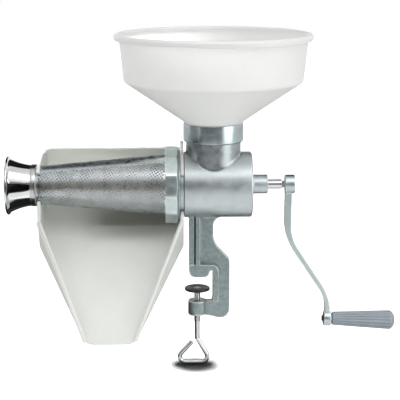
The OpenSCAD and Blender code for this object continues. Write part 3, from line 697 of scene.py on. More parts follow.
@dataclass
class MillBody:
    """The cast body: barrel, feed neck, leg and clamp jaw, with the bushing and seals in it."""

    barrel_r: float = 49.0
    barrel_x0: float = -19.6
    barrel_x1: float = 81.4
    boss_r: float = 14.3
    boss_x1: float = 105.2
    clip_r: float = 45.0
    clip_x0: float = -26.2
    bushing_r: float = 10.05
    bushing_len: float = 27.9
    shaft_r: float = 7.06
    feed_x: float = 24.0
    neck_r: float = 40.6
    collar_r: float = 44.5
    collar_z0: float = 206.5
    collar_z1: float = 234.5
    socket_r: float = 38.0
    socket_depth: float = 24.0
    throat_r: float = 34.0
    wall: float = 1.6                # of the finished outside, over the rough casting
    inset: float = 0.6               # how far the rough casting stays under it
    trim: float = 1.0                # how far short of the finished edges the casting stops
    draw_depth: float = 2.5          # how deep under the finished outside it is still drawn in
    neck_draft: float = 6.4          # how much its neck widens toward the barrel
    saddle_rise: float = 14.0        # how far above the axis the neck's foot starts
    fillet_r: float = 2.6            # at the neck's sides
    fillet_gain: float = 6.4         # how much larger it is in front and behind
    fillet_steps: int = 8
    neck_steps: int = 6              # down the neck's wall

    def casting(self) -> None:
        """Makes the rough casting, with soft fillets where its ribs and walls meet."""
        bm = bmesh.new()
        node_copy(bm, "body_casting")
        piece = cast_shell(bm, "body_casting_skin", grain_mm=1.0, smooth=4, keep=0.4)
        feed, end_x = Vector((self.feed_x, 0, 0)), self.barrel_x1 - 0.5
        for vert in piece.data.vertices:
            start = vert.co / MM
            here, r, f = start.copy(), (start - AXIS).yz.length, (start - feed).xy.length
            # Under the barrel, then under the seat of the chute's clips, then behind the end wall.
            on_barrel = self.barrel_r - self.draw_depth < r < self.barrel_r + 0.3
            if on_barrel and self.barrel_x0 - self.trim < start.x < end_x:
                here = at_radius(start, min(r, self.barrel_r - self.inset))
            elif self.clip_x0 - 0.4 < start.x <= self.barrel_x0 - self.trim and r > self.clip_r - 1.2:
                here = at_radius(start, self.clip_r - 1)
            elif start.x > end_x:
                here.x = end_x
            # Under the neck's wall and the collar's faces.
            at_foot = r > self.barrel_r - 1.5 and start.z > AXIS_Z + self.saddle_rise
            in_neck = start.z > self.collar_z0 - self.trim or at_foot and f < self.neck_r + self.neck_draft
            if in_neck and f > self.neck_r - 1.6:
                here.xy = at_radius(start, min(f, self.neck_r - self.inset - 0.1), feed, Z).xy
            here.z = min(here.z, self.collar_z1 - self.trim)
            vert.co = here * MM
        clean(piece)
        dress(piece, "mill_body", CAST_ALUMINIUM, ["body_casting"], sharp=60)

    def barrel(self) -> None:
        """Makes the barrel's finished outside, its end wall and the shaft boss."""
        bm = bmesh.new()
        inside, back, front = self.barrel_r - self.wall, self.barrel_x1 - 2.4, self.barrel_x0 + self.wall
        turn_about_x(bm, soften([
            (self.clip_r - 2, self.clip_x0, 0), (self.clip_r, self.clip_x0, 0.5),
            (self.clip_r, self.barrel_x0, 0.4), (self.barrel_r, self.barrel_x0, 0.9),
            (self.barrel_r, self.barrel_x1, 3.0), (self.boss_r, self.barrel_x1, 4.0),
            (self.boss_r, self.boss_x1, 1.1), (self.bushing_r, self.boss_x1, 0.4), (self.bushing_r, back, 0),
            (inside, back, 0), (inside, front, 0), (self.clip_r - 2, front, 0)], steps=6), steps=144)
        piece = settle(bm, "barrel", "mill_body", LINISHED_ALUMINIUM)
        low, high, mouth = AXIS_Z + 9, 260, self.throat_r + 2
        cutter = [(0, low), (mouth, low), (mouth, high), (0, high)]
        cut_away(piece, lambda cut: turn_about_z(cut, cutter, (self.feed_x, 0), closed=False))
        clean(piece)
        piece.data.set_sharp_from_angle(angle=math.radians(35))

    def neck_ring(self, angle: float) -> list[Vector]:
        """Points down the neck's wall on one side, out along its fillet and back up inside.

        Args:
            angle: the side of the neck, about the feed axis from +X.

        Returns:
            The same number of points for every angle.
        """
        feed, out = Vector((self.feed_x, 0, 0)), Vector((math.cos(angle), math.sin(angle), 0))
        radius = self.fillet_r + self.fillet_gain * out.y ** 2
        foot = feed + out * (self.neck_r + radius)
        centre = Vector((foot.x, foot.y, AXIS_Z + math.sqrt((self.barrel_r + radius) ** 2 - foot.y ** 2)))
        to_barrel = Vector((0, -centre.y, AXIS_Z - centre.z)).normalized()
        top, wall = self.collar_z0 + 1, feed + out * self.neck_r
        points = [Vector((wall.x, wall.y, top + (centre.z - top) * i / self.neck_steps))
                  for i in range(self.neck_steps)]
        points += [centre + (-out).slerp(to_barrel, i / self.fillet_steps) * radius
                   for i in range(self.fillet_steps + 1)]
        under, inside = self.barrel_r - 1.4, feed + out * (self.neck_r - 2)
        points.append(at_radius(points[-1], under))
        points.append(Vector((inside.x, inside.y, AXIS_Z + math.sqrt(under ** 2 - inside.y ** 2))))
        points.append(Vector((inside.x, inside.y, top)))
        return points

    def neck(self) -> None:
        """Makes the neck that stands in the barrel's saddle, with the cast fillet round its foot."""
        bm = bmesh.new()
        count = len(self.neck_ring(0.0))
        turn_about_z(bm, arc_points((self.neck_r, self.collar_z0), 3.0, 0, 360 - 360 / count, count - 1),
                     (self.feed_x, 0), 144)
        for vert in bm.verts:
            x, y, z = vert.co
            angle = math.atan2(y, x - self.feed_x)
            turn = math.atan2(z - self.collar_z0, math.hypot(x - self.feed_x, y) - self.neck_r)
            vert.co = self.neck_ring(angle)[round(turn / math.tau * count) % count]
        settle(bm, "feed_neck", "mill_body", NECK_ALUMINIUM)

    def collar(self) -> None:
        """Makes the collar that takes the hopper's spigot, faced and chamfered."""
        bm = bmesh.new()
        seat = self.collar_z1 - self.socket_depth
        turn_about_z(bm, soften([
            (self.neck_r - 3, self.collar_z0, 0), (self.collar_r - 2.2, self.collar_z0, 0.4),
            (self.collar_r, self.collar_z0 + 2.2, 0.8), (self.collar_r, self.collar_z1, 0.9),
            (self.socket_r, self.collar_z1, 0.8), (self.socket_r, seat, 0.4), (self.throat_r, seat, 0.5),
            (self.throat_r, self.collar_z0, 0)]), (self.feed_x, 0), 144)
        settle(bm, "feed_collar", "mill_body", TURNED_COLLAR)

    def bushing(self) -> None:
        """Makes the bronze bushing whose end shows round the shaft."""
        bm = bmesh.new()
        outer, end = self.bushing_r - 0.05, self.boss_x1 - self.bushing_len
        turn_about_x(bm, soften([(self.shaft_r, end, 0.4), (outer, end, 0.3), (outer, self.boss_x1, 0.4),
                                 (self.shaft_r, self.boss_x1, 0.7)]), 64)
        settle(bm, "shaft_bushing", "mill_body", SINTERED_BRONZE, ["rear_bushing"])

    def make(self) -> None:
        """Builds the body and dresses what sits in it."""
        self.casting()
        self.barrel()
        self.neck()
        self.collar()
        self.bushing()
        keep_node("screen_gasket", GASKET_RUBBER)
        keep_node("shaft_seal", SEAL_RUBBER)
        keep_node("thrust_washer", SINTERED_BRONZE)


@dataclass
class Hopper:
    """The moulded hopper: a spigot, a cone, a knee and a deep wall with a rolled lip."""

    feed_x: float = 24.0
    z0: float = 234.7
    height: float = 131.0
    spigot_r: float = 37.94
    spigot_len: float = 23.0
    foot_r: float = 44.5
    knee_r: float = 132.2
    knee_z: float = 62.0
    lip_r: float = 145.4
    curl: float = 4.2
    wall: float = 2.8

    def make(self) -> None:
        """Spins the hopper's wall, out along the outside and back down the inside."""
        top, t = self.height, self.wall
        curl_mid = (self.lip_r - self.curl, top - self.curl)
        neck_in = self.spigot_r - 3.0
        outside = soften([
            (neck_in, -self.spigot_len, 0), (self.spigot_r, -self.spigot_len, 1.0), (self.spigot_r, 0, 0.6),
            (self.foot_r - 0.4, 0, 0.3), (self.foot_r, 2.2, 1.5), (self.knee_r, self.knee_z, 9.0),
            (curl_mid[0] - self.curl + 1.1, curl_mid[1], 0)], closed=False, steps=7)
        under = arc_points(curl_mid, self.curl - 1.6, 165, 0, 8)
        over = arc_points(curl_mid, self.curl, 0, 155, 12)
        skirt = [(self.lip_r - 1.6, top - self.curl - 4.6), (self.lip_r - 0.8, top - self.curl - 5.0),
                 (self.lip_r, top - self.curl - 4.4)]
        inside = soften([
            (curl_mid[0] - self.curl * 0.95, curl_mid[1] + self.curl * 0.3, 0),
            (self.knee_r - t, self.knee_z + t * 0.7, 7.5), (self.foot_r - 3.4, 3.8, 3.0),
            (neck_in, 0.5, 0)], closed=False, steps=7)
        profile = [(r, self.z0 + z) for r, z in [*outside[:-1], *under, *skirt, *over, *inside]]
        bm = bmesh.new()
        turn_about_z(bm, profile, (self.feed_x, 0), 168)
        settle(bm, "hopper_bowl", "hopper_body", HOPPER_PLASTIC, ["hopper"], sharp=50)


@dataclass
class Strainer:
    """The conical screen with its base ring, tip collar and flared outlet."""

    x0: float = -238.9
    x1: float = -43.9
    tip_r: float = 27.9
    base_r: float = 46.2
    sheet: float = 0.8
    hole_step: float = 5.4           # side of the square that holds two holes
    hole_r: float = 1.5              # drawn coarser than the real ones, which are too fine to show
    seam_margin: float = 5.5         # plain metal beside the seam
    end_margin: float = 5.0
    seam_angle: float = 62.0         # where the seam lies, up from the front
    flare_x0: float = -282.9
    flare_x1: float = -239.9
    flare_neck_r: float = 30.4
    flare_rim_r: float = 44.0
    flare_t: float = 1.5
    bead_r: float = 2.0
    flare_curve: float = 1.9         # power of the curve from the neck to the rim
    flange_bore: float = 43.3
    flange_r: float = 50.4
    flange_t: float = 1.1
    band_bore: float = 26.1
    band_step_r: float = 28.8
    band_r: float = 31.6

    def __post_init__(self) -> None:
        """Develops the cone: its lean, its ends' reach from the apex and half the flat sheet's angle."""
        self.lean = math.atan2(self.base_r - self.tip_r, self.x1 - self.x0)
        self.near, self.far = self.tip_r / math.sin(self.lean), self.base_r / math.sin(self.lean)
        self.half = math.pi * math.sin(self.lean)

    def flat_sheet(self, bm: Mesh) -> None:
        """Lays out the flat sheet: squares set on their corners, trimmed to the developed cone.

        Args:
            bm: mesh that takes the sheet, with the cone's apex at the origin.
        """
        step, spare = self.hole_step, 4.0
        low = self.near * math.cos(self.half) - spare
        wide = 2 * math.ceil((self.far + spare) * math.sin(self.half) / step)
        tall = math.ceil((self.far + 1.5 * spare - low) / step)
        bmesh.ops.create_grid(bm, x_segments=wide, y_segments=tall, size=0.5)
        bmesh.ops.transform(bm, verts=bm.verts, matrix=Matrix.Translation((0, low + tall * step / 2, 0))
                            @ Matrix.Diagonal((wide * step, tall * step, 1, 1)))
        grid = list(bm.edges)
        bmesh.ops.poke(bm, faces=bm.faces)
        bmesh.ops.dissolve_edges(bm, edges=[e for e in grid if not e.is_boundary], use_verts=False)
        for side in (-1, 1):
            trim(bm, Vector(), Vector((side * math.cos(self.half), -math.sin(self.half), 0)))

    def punch(self, bm: Mesh) -> None:
        """Punches a hole at each corner that is clear of the seam and the ends.

        Args:
            bm: the flat sheet.
        """
        punched = []
        for vert in bm.verts:
            reach = vert.co.length
            edge_gap = reach * math.sin(self.half - abs(math.atan2(vert.co.x, vert.co.y)))
            if (len(vert.link_edges) == 4 and not vert.is_boundary and edge_gap > self.seam_margin
                    and self.near + self.end_margin < reach < self.far - self.end_margin):
                punched.append(vert)
        centres = kdtree.KDTree(len(punched))
        for i, vert in enumerate(punched):
            centres.insert(vert.co, i)
        centres.balance()
        LOG.info("screen: %d holes", len(punched))
        made = bmesh.ops.bevel(bm, geom=punched, offset=self.hole_r, offset_type="OFFSET", segments=2,
                               profile=0.5, affect="VERTICES", material=-1, clamp_overlap=True)
        bmesh.ops.delete(bm, geom=made["faces"], context="FACES")
        for vert in bm.verts:
            centre, _, gap = centres.find(vert.co)
            if vert.is_boundary and gap < 1.2 * self.hole_r:
                vert.co = centre + (vert.co - centre) * (self.hole_r / gap)

    def roll(self, bm: Mesh) -> None:
        """Rolls the sheet to its cone, squares its ends and gives it its thickness.

        Args:
            bm: the punched sheet.
        """
        start = math.radians(self.seam_angle) + math.pi
        for vert in bm.verts:
            reach, turn = vert.co.length, math.atan2(vert.co.x, vert.co.y) / math.sin(self.lean)
            r, x = reach * math.sin(self.lean), self.x0 + (reach - self.near) * math.cos(self.lean)
            vert.co = AXIS + Vector((x, -r * math.cos(start + turn), r * math.sin(start + turn)))
        for end, way in ((self.x0, -X), (self.x1, X)):
            trim(bm, X * end, way)
        bmesh.ops.remove_doubles(bm, verts=bm.verts, dist=5e-3)
        bmesh.ops.recalc_face_normals(bm, faces=bm.faces)
        face = max(bm.faces, key=lambda f: f.calc_center_median().x)
        if face.normal.yz.dot((face.calc_center_median() - AXIS).yz) < 0:
            bmesh.ops.reverse_faces(bm, faces=bm.faces)
        bmesh.ops.solidify(bm, geom=bm.faces[:], thickness=self.sheet)

    def screen(self) -> None:
        """Makes the perforated cone from a flat sheet."""
        bm = bmesh.new()
        self.flat_sheet(bm)
        self.punch(bm)
        self.roll(bm)
        settle(bm, "screen_sheet", "screen_body", PERFORATED_STEEL, ["screen_cone"], sharp=30)

    def base_ring(self) -> None:
        """Makes the flange that the ring nut clamps."""
        bm = bmesh.new()
        bore, rim, front, back = self.flange_bore, self.flange_r, self.x1, self.x1 + self.flange_t
        turn_about_x(bm, soften([(bore, front, 0.2), (rim, front, 0.4), (rim, back, 0.4), (bore, back, 0.2)]))
        settle(bm, "screen_flange", "screen_body", BAND_STEEL, ["screen_base_ring"])

    def tip_band(self) -> None:
        """Makes the band that joins the screen's tip to the outlet."""
        bm = bmesh.new()
        end = self.x0 + 0.5
        turn_about_x(bm, soften([
            (self.band_bore, end - 4, 0.3), (self.band_step_r, end - 4, 0.2),
            (self.band_step_r, end - 8, 0.2), (self.band_r, end - 8, 0.7), (self.band_r, end, 0.7),
            (self.band_bore, end, 0.3)]))
        settle(bm, "tip_band", "screen_body", BAND_STEEL, ["tip_collar"])

    def flare_wall(self, inset: float, steps: int = 16) -> list[Point2]:
        """Curves the flare's wall out from its neck.

        Args:
            inset: how far inside the outer face.
            steps: how many points.

        Returns:
            The wall's points, from the neck to just short of the bead.
        """
        opening = self.flare_rim_r - self.flare_neck_r - self.bead_r
        deep = self.flare_x1 - self.flare_x0 - self.bead_r
        return [(self.flare_neck_r - inset + opening * (i / steps) ** self.flare_curve,
                 self.flare_x1 - deep * i / steps) for i in range(steps)]

    def flare(self) -> None:
        """Spins the flared outlet with its rolled rim."""
        bead = arc_points((self.flare_rim_r - self.bead_r, self.flare_x0 + self.bead_r), self.bead_r, 85,
                          -160, 12)
        bm = bmesh.new()
        turn_about_x(bm, [*self.flare_wall(0), *bead, *reversed(self.flare_wall(self.flare_t))], 128)
        settle(bm, "outlet_flare", "screen_body", POLISHED_STEEL, ["discharge_flare"],
               sharp=45)

    def make(self) -> None:
        """Builds the strainer."""
        self.screen()
        self.base_ring()
        self.tip_band()
        self.flare()


@dataclass
class RingNut:
    """The twelve-sided nut that holds the screen on the spigot."""

    x0: float = -47.4
    x1: float = -26.4
    corner_r: float = 59.0
    sides: int = 12
    turn: float = 6.0
    inner_r: float = 51.06
    lip_r: float = 46.6
    lip_t: float = 3.2
    corner_round: float = 1.1
    slope_in: float = 9.0            # how far the back slope draws in
    slope_len: float = 4.3
    per_side: int = 12               # segments in a side and in the slope

    def make(self) -> None:
        """Spins the nut and presses its outside onto twelve flats."""
        r, front, count = self.corner_r, self.x0, self.per_side
        outside = [(r - 1.4, front), (r - 0.5, front + 0.5), (r, front + 1.4), (r, front + 2.2),
                   (r, self.x1 - 4.6)]
        slope = [(r - self.slope_in * k / count, self.x1 - 4.5 + self.slope_len * k / count)
                 for k in range(1, count + 1)]
        bm = bmesh.new()
        verts = turn_about_x(bm, [
            (self.lip_r + 0.4, front), *outside, *slope, (r - self.slope_in - 0.3, self.x1),
            (self.inner_r, self.x1), (self.inner_r, front + self.lip_t), (self.lip_r, front + self.lip_t),
            (self.lip_r, front + 0.4)], self.sides * count, phase=math.radians(90 - self.turn))
        step = math.tau / self.sides
        for vert in verts:
            reach = vert.co - AXIS
            if reach.yz.length > self.inner_r + 0.5:
                turn = math.atan2(reach.z, reach.y) - math.radians(self.turn)
                off_middle = step / 2 - abs((turn + step / 2) % step - step / 2)
                flat = r * math.cos(step / 2) / math.cos(off_middle)
                flat = min(flat, r - self.corner_round * 0.35, reach.yz.length)
                vert.co = at_radius(vert.co, flat)
        settle(bm, "screen_nut", "nut_body", NUT_ALUMINIUM, ["ring_nut"], sharp=12)


@dataclass
class Chute:
    """The moulded catch chute: a trough under the screen, a ramp and a drawn-in spout."""

    x0: float = -236.9
    x1: float = -20.4
    trough_r: float = 68.0
    ramp_slope: float = 40.0
    fold: float = 67.0
    length: float = 237.0
    lean: float = 14.0
    spout_w: float = 70.0
    spout_shift: float = 2.0
    rim_drop: float = 49.0           # of the rims' mouths below the axis
    mouth_y: tuple[float, float] = (-29.6, -36.4)    # of the left and the right rim
    rim_end: float = 0.985           # share of the ramp that the rims run down
    bead_out: float = 0.4            # of the rim bead's middle from the wall
    bead_drop: float = 1.2           # and below the wall's edge
    bead_r: float = 2.5
    corner_round: float = 18.0
    corner_from: float = -80.0       # where the corner starts, in degrees up from level at the back
    corner_to: float = 60.0

    def on_ramp(self, down: float, height: float = 0.0) -> Vector:
        """Finds a point of the ramp, in the (y, z) plane about the mill axis.

        Args:
            down: how far down the ramp, from the trough.
            height: how far above the ramp.

        Returns:
            The point.
        """
        slope = math.radians(self.ramp_slope)
        up = Vector((-math.sin(slope), math.cos(slope)))
        return up * (height - self.trough_r) - Vector((math.cos(slope), math.sin(slope))) * down

    def rim(self, side: int, steps: int = 24) -> list[Vector]:
        """Runs the line of a side wall's rim.

        Args:
            side: 1 for the right wall, -1 for the left.
            steps: how many stretches the line has.

        Returns:
            Points from the rim's mouth to the spout.
        """
        near, far = Vector((self.mouth_y[side > 0], -self.rim_drop)), self.on_ramp(self.length, 6.0)
        tilt = math.radians(180 + self.ramp_slope - self.lean)
        way = Vector((math.cos(tilt), math.sin(tilt)))
        taper = (self.length - self.fold) * math.cos(math.radians(self.lean))
        wide_x = self.x1 - 0.6 if side > 0 else self.x0 + 0.6
        narrow_x = (self.x0 + self.x1) / 2 + self.spout_shift + side * self.spout_w / 2
        points = []
        for k in range(steps + 1):
            here = near.lerp(far, k / steps * self.rim_end)
            share = min(max((here - self.on_ramp(self.fold)).dot(way) / taper, 0.0), 1.0)
            x = wide_x + (narrow_x - wide_x) * share
            points.append(Vector((x + side * self.bead_out, here.x, AXIS_Z + here.y - self.bead_drop)))
        return points

    def round_corner(self, piece: Piece) -> None:
        """Rounds the moulding where its left end wall meets the trough.

        Args:
            piece: the moulding.
        """
        for vert in piece.data.vertices:
            here = vert.co / MM
            reach = here - AXIS
            r, angle = reach.yz.length, math.degrees(math.atan2(reach.z, reach.y))
            if not self.corner_from < angle < self.corner_to:
                continue
            # The corner grows up the wall, from a quarter of its size at the bottom.
            size = self.corner_round * min(1.0, max(0.25, (angle + 62) / 50))
            a, b = self.x0 + size - here.x, r - (self.trough_r - size)
            if a <= 0 or b <= 0 or r > self.trough_r + 1.0:
                continue
            share = max(a, b) / math.hypot(a, b)
            here = at_radius(here, self.trough_r - size + b * share)
            here.x = self.x0 + size - a * share
            vert.co = here * MM

    def make(self) -> None:
        """Fuses the chute's walls and rim beads into one moulding."""
        bm = bmesh.new()
        node_copy(bm, "chute")
        for side in (-1, 1):
            pull(bm, disc(self.bead_r, 12), along(self.rim(side), Z))
        piece = cast_shell(bm, "chute_moulding", grain_mm=1.15, smooth=4, keep=0.55)
        self.round_corner(piece)
        dress(piece, "chute_body", CHUTE_PLASTIC, ["chute"], sharp=70)


@dataclass
class Crank:
    """What turns: the arm, its screw and pins, the drive shaft and the auger."""

    strainer: Strainer
    shaft_r: float = 7.0
    shaft_x0: float = 36.5
    shaft_x1: float = 141.8
    square_x: float = 126.2
    square: float = 10.0
    tap_r: float = 2.9               # of the tapped hole in the shaft's end
    tap_len: float = 13.0
    head_r: float = 6.6              # of the socket-head screw
    head_len: float = 3.6
    socket: float = 5.0              # across the socket's flats
    lower_eye: tuple[float, float, float] = (193.7, 0.0, -69.7)
    droop: float = 2.0
    grip_pin_r: float = 3.6
    pin_end: float = 95.8
    washer_at: float = 11.6
    auger_x0: float = -230.9
    auger_x1: float = 64.5
    hub_x1: float = 70.5
    hub_bore: float = 7.06
    core_r: float = 14.0
    core_tip_r: float = 9.0
    taper_x: float = -41.2           # where the core starts to taper
    pitch: float = 34.0
    spigot_bore: float = 41.5
    screen_wall: float = 0.9
    flight_gap: float = 1.2

    def at_grip(self) -> Matrix:
        """Turns a shape made about Z from the origin onto the grip's axis."""
        return Matrix.Translation(self.lower_eye) @ Matrix.Rotation(math.radians(90 + self.droop), 4, "Y")

    def arm(self) -> None:
        """Makes the cast arm with its two eyes."""
        bm = bmesh.new()
        node_copy(bm, "crank_arm")
        piece = cast_shell(bm, "crank_arm_casting", grain_mm=0.8, smooth=6)
        dress(piece, "crank_body", NUT_ALUMINIUM, ["crank_arm"], sharp=60)

    def shaft(self) -> None:
        """Makes the polished shaft and squares its end."""
        bm = bmesh.new()
        r, end, bottom = self.shaft_r, self.shaft_x1, self.shaft_x1 - self.tap_len
        verts = turn_about_x(bm, [
            (0, self.shaft_x0), (r - 1, self.shaft_x0), (r, self.shaft_x0 + 1), (r, 100), (r, self.square_x),
            (r, self.square_x + 0.05), (r, end - 1), (r - 0.6, end), (self.tap_r, end),
            (self.tap_r - 0.04, bottom), (0, bottom)], closed=False)
        half = self.square / 2
        for vert in verts:
            if vert.co.x > self.square_x + 0.01 and (vert.co - AXIS).yz.length > self.tap_r + 1:
                vert.co.y = max(-half, min(half, vert.co.y))
                vert.co.z = max(AXIS_Z - half, min(AXIS_Z + half, vert.co.z))
        settle(bm, "drive_shaft_bar", "crank_body", CHROME, ["drive_shaft"], sharp=25)

    def screw(self) -> None:
        """Makes the socket-head screw in the arm's upper eye."""
        bm = bmesh.new()
        x, head, core, half = self.shaft_x1 + 0.2, self.head_r, self.tap_r - 0.1, self.socket / 2
        verts = turn_about_x(bm, [
            (0, x - 11), (core - 0.4, x - 11), (core, x - 10.4), (core, x), (head - 0.1, x), (head, x + 0.3),
            (head, x + 2.8), (head - 0.3, x + 3.4), (head - 0.8, x + self.head_len),
            (3.35, x + self.head_len), (2.9, x + 3.2), (2.9, x + 1.6), (0, x + 1.2)], 72, closed=False)
        for vert in verts:
            reach = vert.co - AXIS
            if vert.co.x > x + 1.4 and 2 < reach.yz.length < 3.2:
                off = math.atan2(reach.z, reach.y) % (math.pi / 3) - math.pi / 6
                vert.co = at_radius(vert.co, half / math.cos(off))
        settle(bm, "crank_socket_screw", "crank_body", ZINC_STEEL, ["crank_screw"], sharp=30)

    def grip_fittings(self) -> None:
        """Makes the pin that the grip turns on, and its washer."""
        bm = bmesh.new()
        r, end = self.grip_pin_r, self.pin_end
        turn_about_z(bm, [(0, -2.4), (r + 0.2, -2.4), (r + 0.8, -2.0), (r + 1, -1.4), (r + 1, 0), (r, 0),
                          (r, end - 0.6), (r - 0.6, end), (0, end)], closed=False, steps=48)
        bmesh.ops.transform(bm, matrix=self.at_grip(), verts=bm.verts)
        settle(bm, "grip_rivet", "crank_body", BLACKED_STEEL, ["grip_pin"])
        bm = bmesh.new()
        bore, rim, low, high = r + 0.06, r + 2.4, self.washer_at, self.washer_at + 1
        turn_about_z(bm, soften([(bore, low, 0.2), (rim, low, 0.3), (rim, high, 0.3), (bore, high, 0.2)],
                                steps=2), steps=48)
        bmesh.ops.transform(bm, matrix=self.at_grip(), verts=bm.verts)
        settle(bm, "grip_thrust_washer", "crank_body", BLACKED_STEEL, ["grip_washer"])

    def flight_radius(self, x: float) -> float:
        """Finds the flight's radius, just inside the screen and the barrel's spigot.

        Args:
            x: the station, in millimetres.

        Returns:
            The radius.
        """
        screen = self.strainer
        share = min(max((x - screen.x0) / (screen.x1 - screen.x0), 0.0), 1.0)
        inside = screen.tip_r + (screen.base_r - screen.tip_r) * share - self.screen_wall
        return min(self.spigot_bore, inside) - self.flight_gap

    def core_radius(self, x: float) -> float:
        """Finds the radius of the auger's core.

        Args:
            x: the station, in millimetres.

        Returns:
            The radius.
        """
        share = min(max((self.taper_x - x) / (self.taper_x - self.auger_x0), 0.0), 1.0)
        return self.core_r - (self.core_r - self.core_tip_r) * share

    def auger(self) -> None:
        """Winds the flight round the auger's core."""
        bm = bmesh.new()
        cores = [(self.core_radius(x), x) for x in (self.auger_x0 + 2, -200, -150, -100, -60, self.taper_x)]
        bore, bore_x0 = self.hub_bore, self.shaft_x0 - 1.1
        turn_about_x(bm, [(0, self.auger_x0), (7.5, self.auger_x0), *cores, (self.core_r, self.hub_x1 - 0.5),
                          (self.core_r - 0.5, self.hub_x1), (bore + 0.04, self.hub_x1), (bore, bore_x0),
                          (0, bore_x0)], 64, closed=False)
        start = self.auger_x0 + 2.5
        foot = self.core_radius(start) - 2
        tip, turns = foot + 20, (self.auger_x1 - start) / self.pitch
        corners = ((foot, -2.4), (tip, -1.4), (tip, 1.4), (foot, 2.4))
        section = [Vector((start + x, r, AXIS_Z)) for r, x in corners]
        for vert in wind(bm, section, AXIS, -X, X * self.pitch, turns, 40):
            outer = (vert.co - AXIS).yz.length > foot + 10
            x = vert.co.x
            vert.co = at_radius(vert.co, self.flight_radius(x) if outer else self.core_radius(x) - 2)
        settle(bm, "feed_auger", "crank_body", AUGER_NYLON, ["auger"])

    def make(self) -> None:
        """Builds the crank."""
        self.arm()
        self.shaft()
        self.screw()
        self.grip_fittings()
        self.auger()
        keep_node("drive_pin", ZINC_STEEL)


@dataclass
class Grip:
    """The moulded, fluted grip that turns on its rivet."""

    crank: Crank
    start: float = 12.8
    length: float = 97.0
    r0: float = 10.4
    r1: float = 14.6
    dome: float = 9.0
    bore_r: float = 3.72
    bore_len: float = 84.0
    flutes: int = 16
    flute_depth: float = 1.25
    nose_r: float = 3.0
    side_steps: int = 24

    def make(self) -> None:
        """Spins the grip, presses its flutes in and turns it onto the rivet's axis."""
        mid, bore, round_r = self.length - self.dome, self.bore_r, self.nose_r
        side = [(self.r0 + (self.r1 - self.r0) * k / self.side_steps,
                 round_r + (mid - round_r) * k / self.side_steps) for k in range(self.side_steps + 1)]
        nose = arc_points((self.r0 - round_r, round_r), round_r, -90, -8, 5)
        dome = [(r * self.r1, mid + z * self.dome) for r, z in arc_points((0, 0), 1, 0, 90, 12)[1:-1]]
        bm = bmesh.new()
        turn_about_z(bm, [(bore, 0.4), (bore + 0.4, 0), *nose, *side, *dome, (0, self.length),
                          (0, self.bore_len), (bore, self.bore_len)], steps=self.flutes * 8)
        bmesh.ops.delete(bm, geom=[e for e in bm.edges if e.is_wire], context="EDGES")
        for vert in bm.verts:
            r = vert.co.xy.length
            if r < self.r0 - 3.4:    # the bore stays round
                continue
            # The flutes are sharper than a wave. They fade in after the nose and out over the dome.
            turn = math.atan2(vert.co.y, vert.co.x) * self.flutes
            into = max(0.0, 0.5 - 0.5 * math.cos(turn)) ** 1.6
            fade = min(1.0, max(0.0, (vert.co.z - 4) / 5)) * min(1.0, max(0.0, (mid + 3.5 - vert.co.z) / 7))
            into *= fade * fade * (3 - 2 * fade)
            vert.co = at_radius(vert.co, r - self.flute_depth * into, Vector(), Z)
        bmesh.ops.translate(bm, vec=(0, 0, self.start), verts=bm.verts)
        bmesh.ops.transform(bm, matrix=self.crank.at_grip(), verts=bm.verts)
        settle(bm, "fluted_grip", "grip_body", GRIP_PLASTIC, ["grip"], sharp=50)


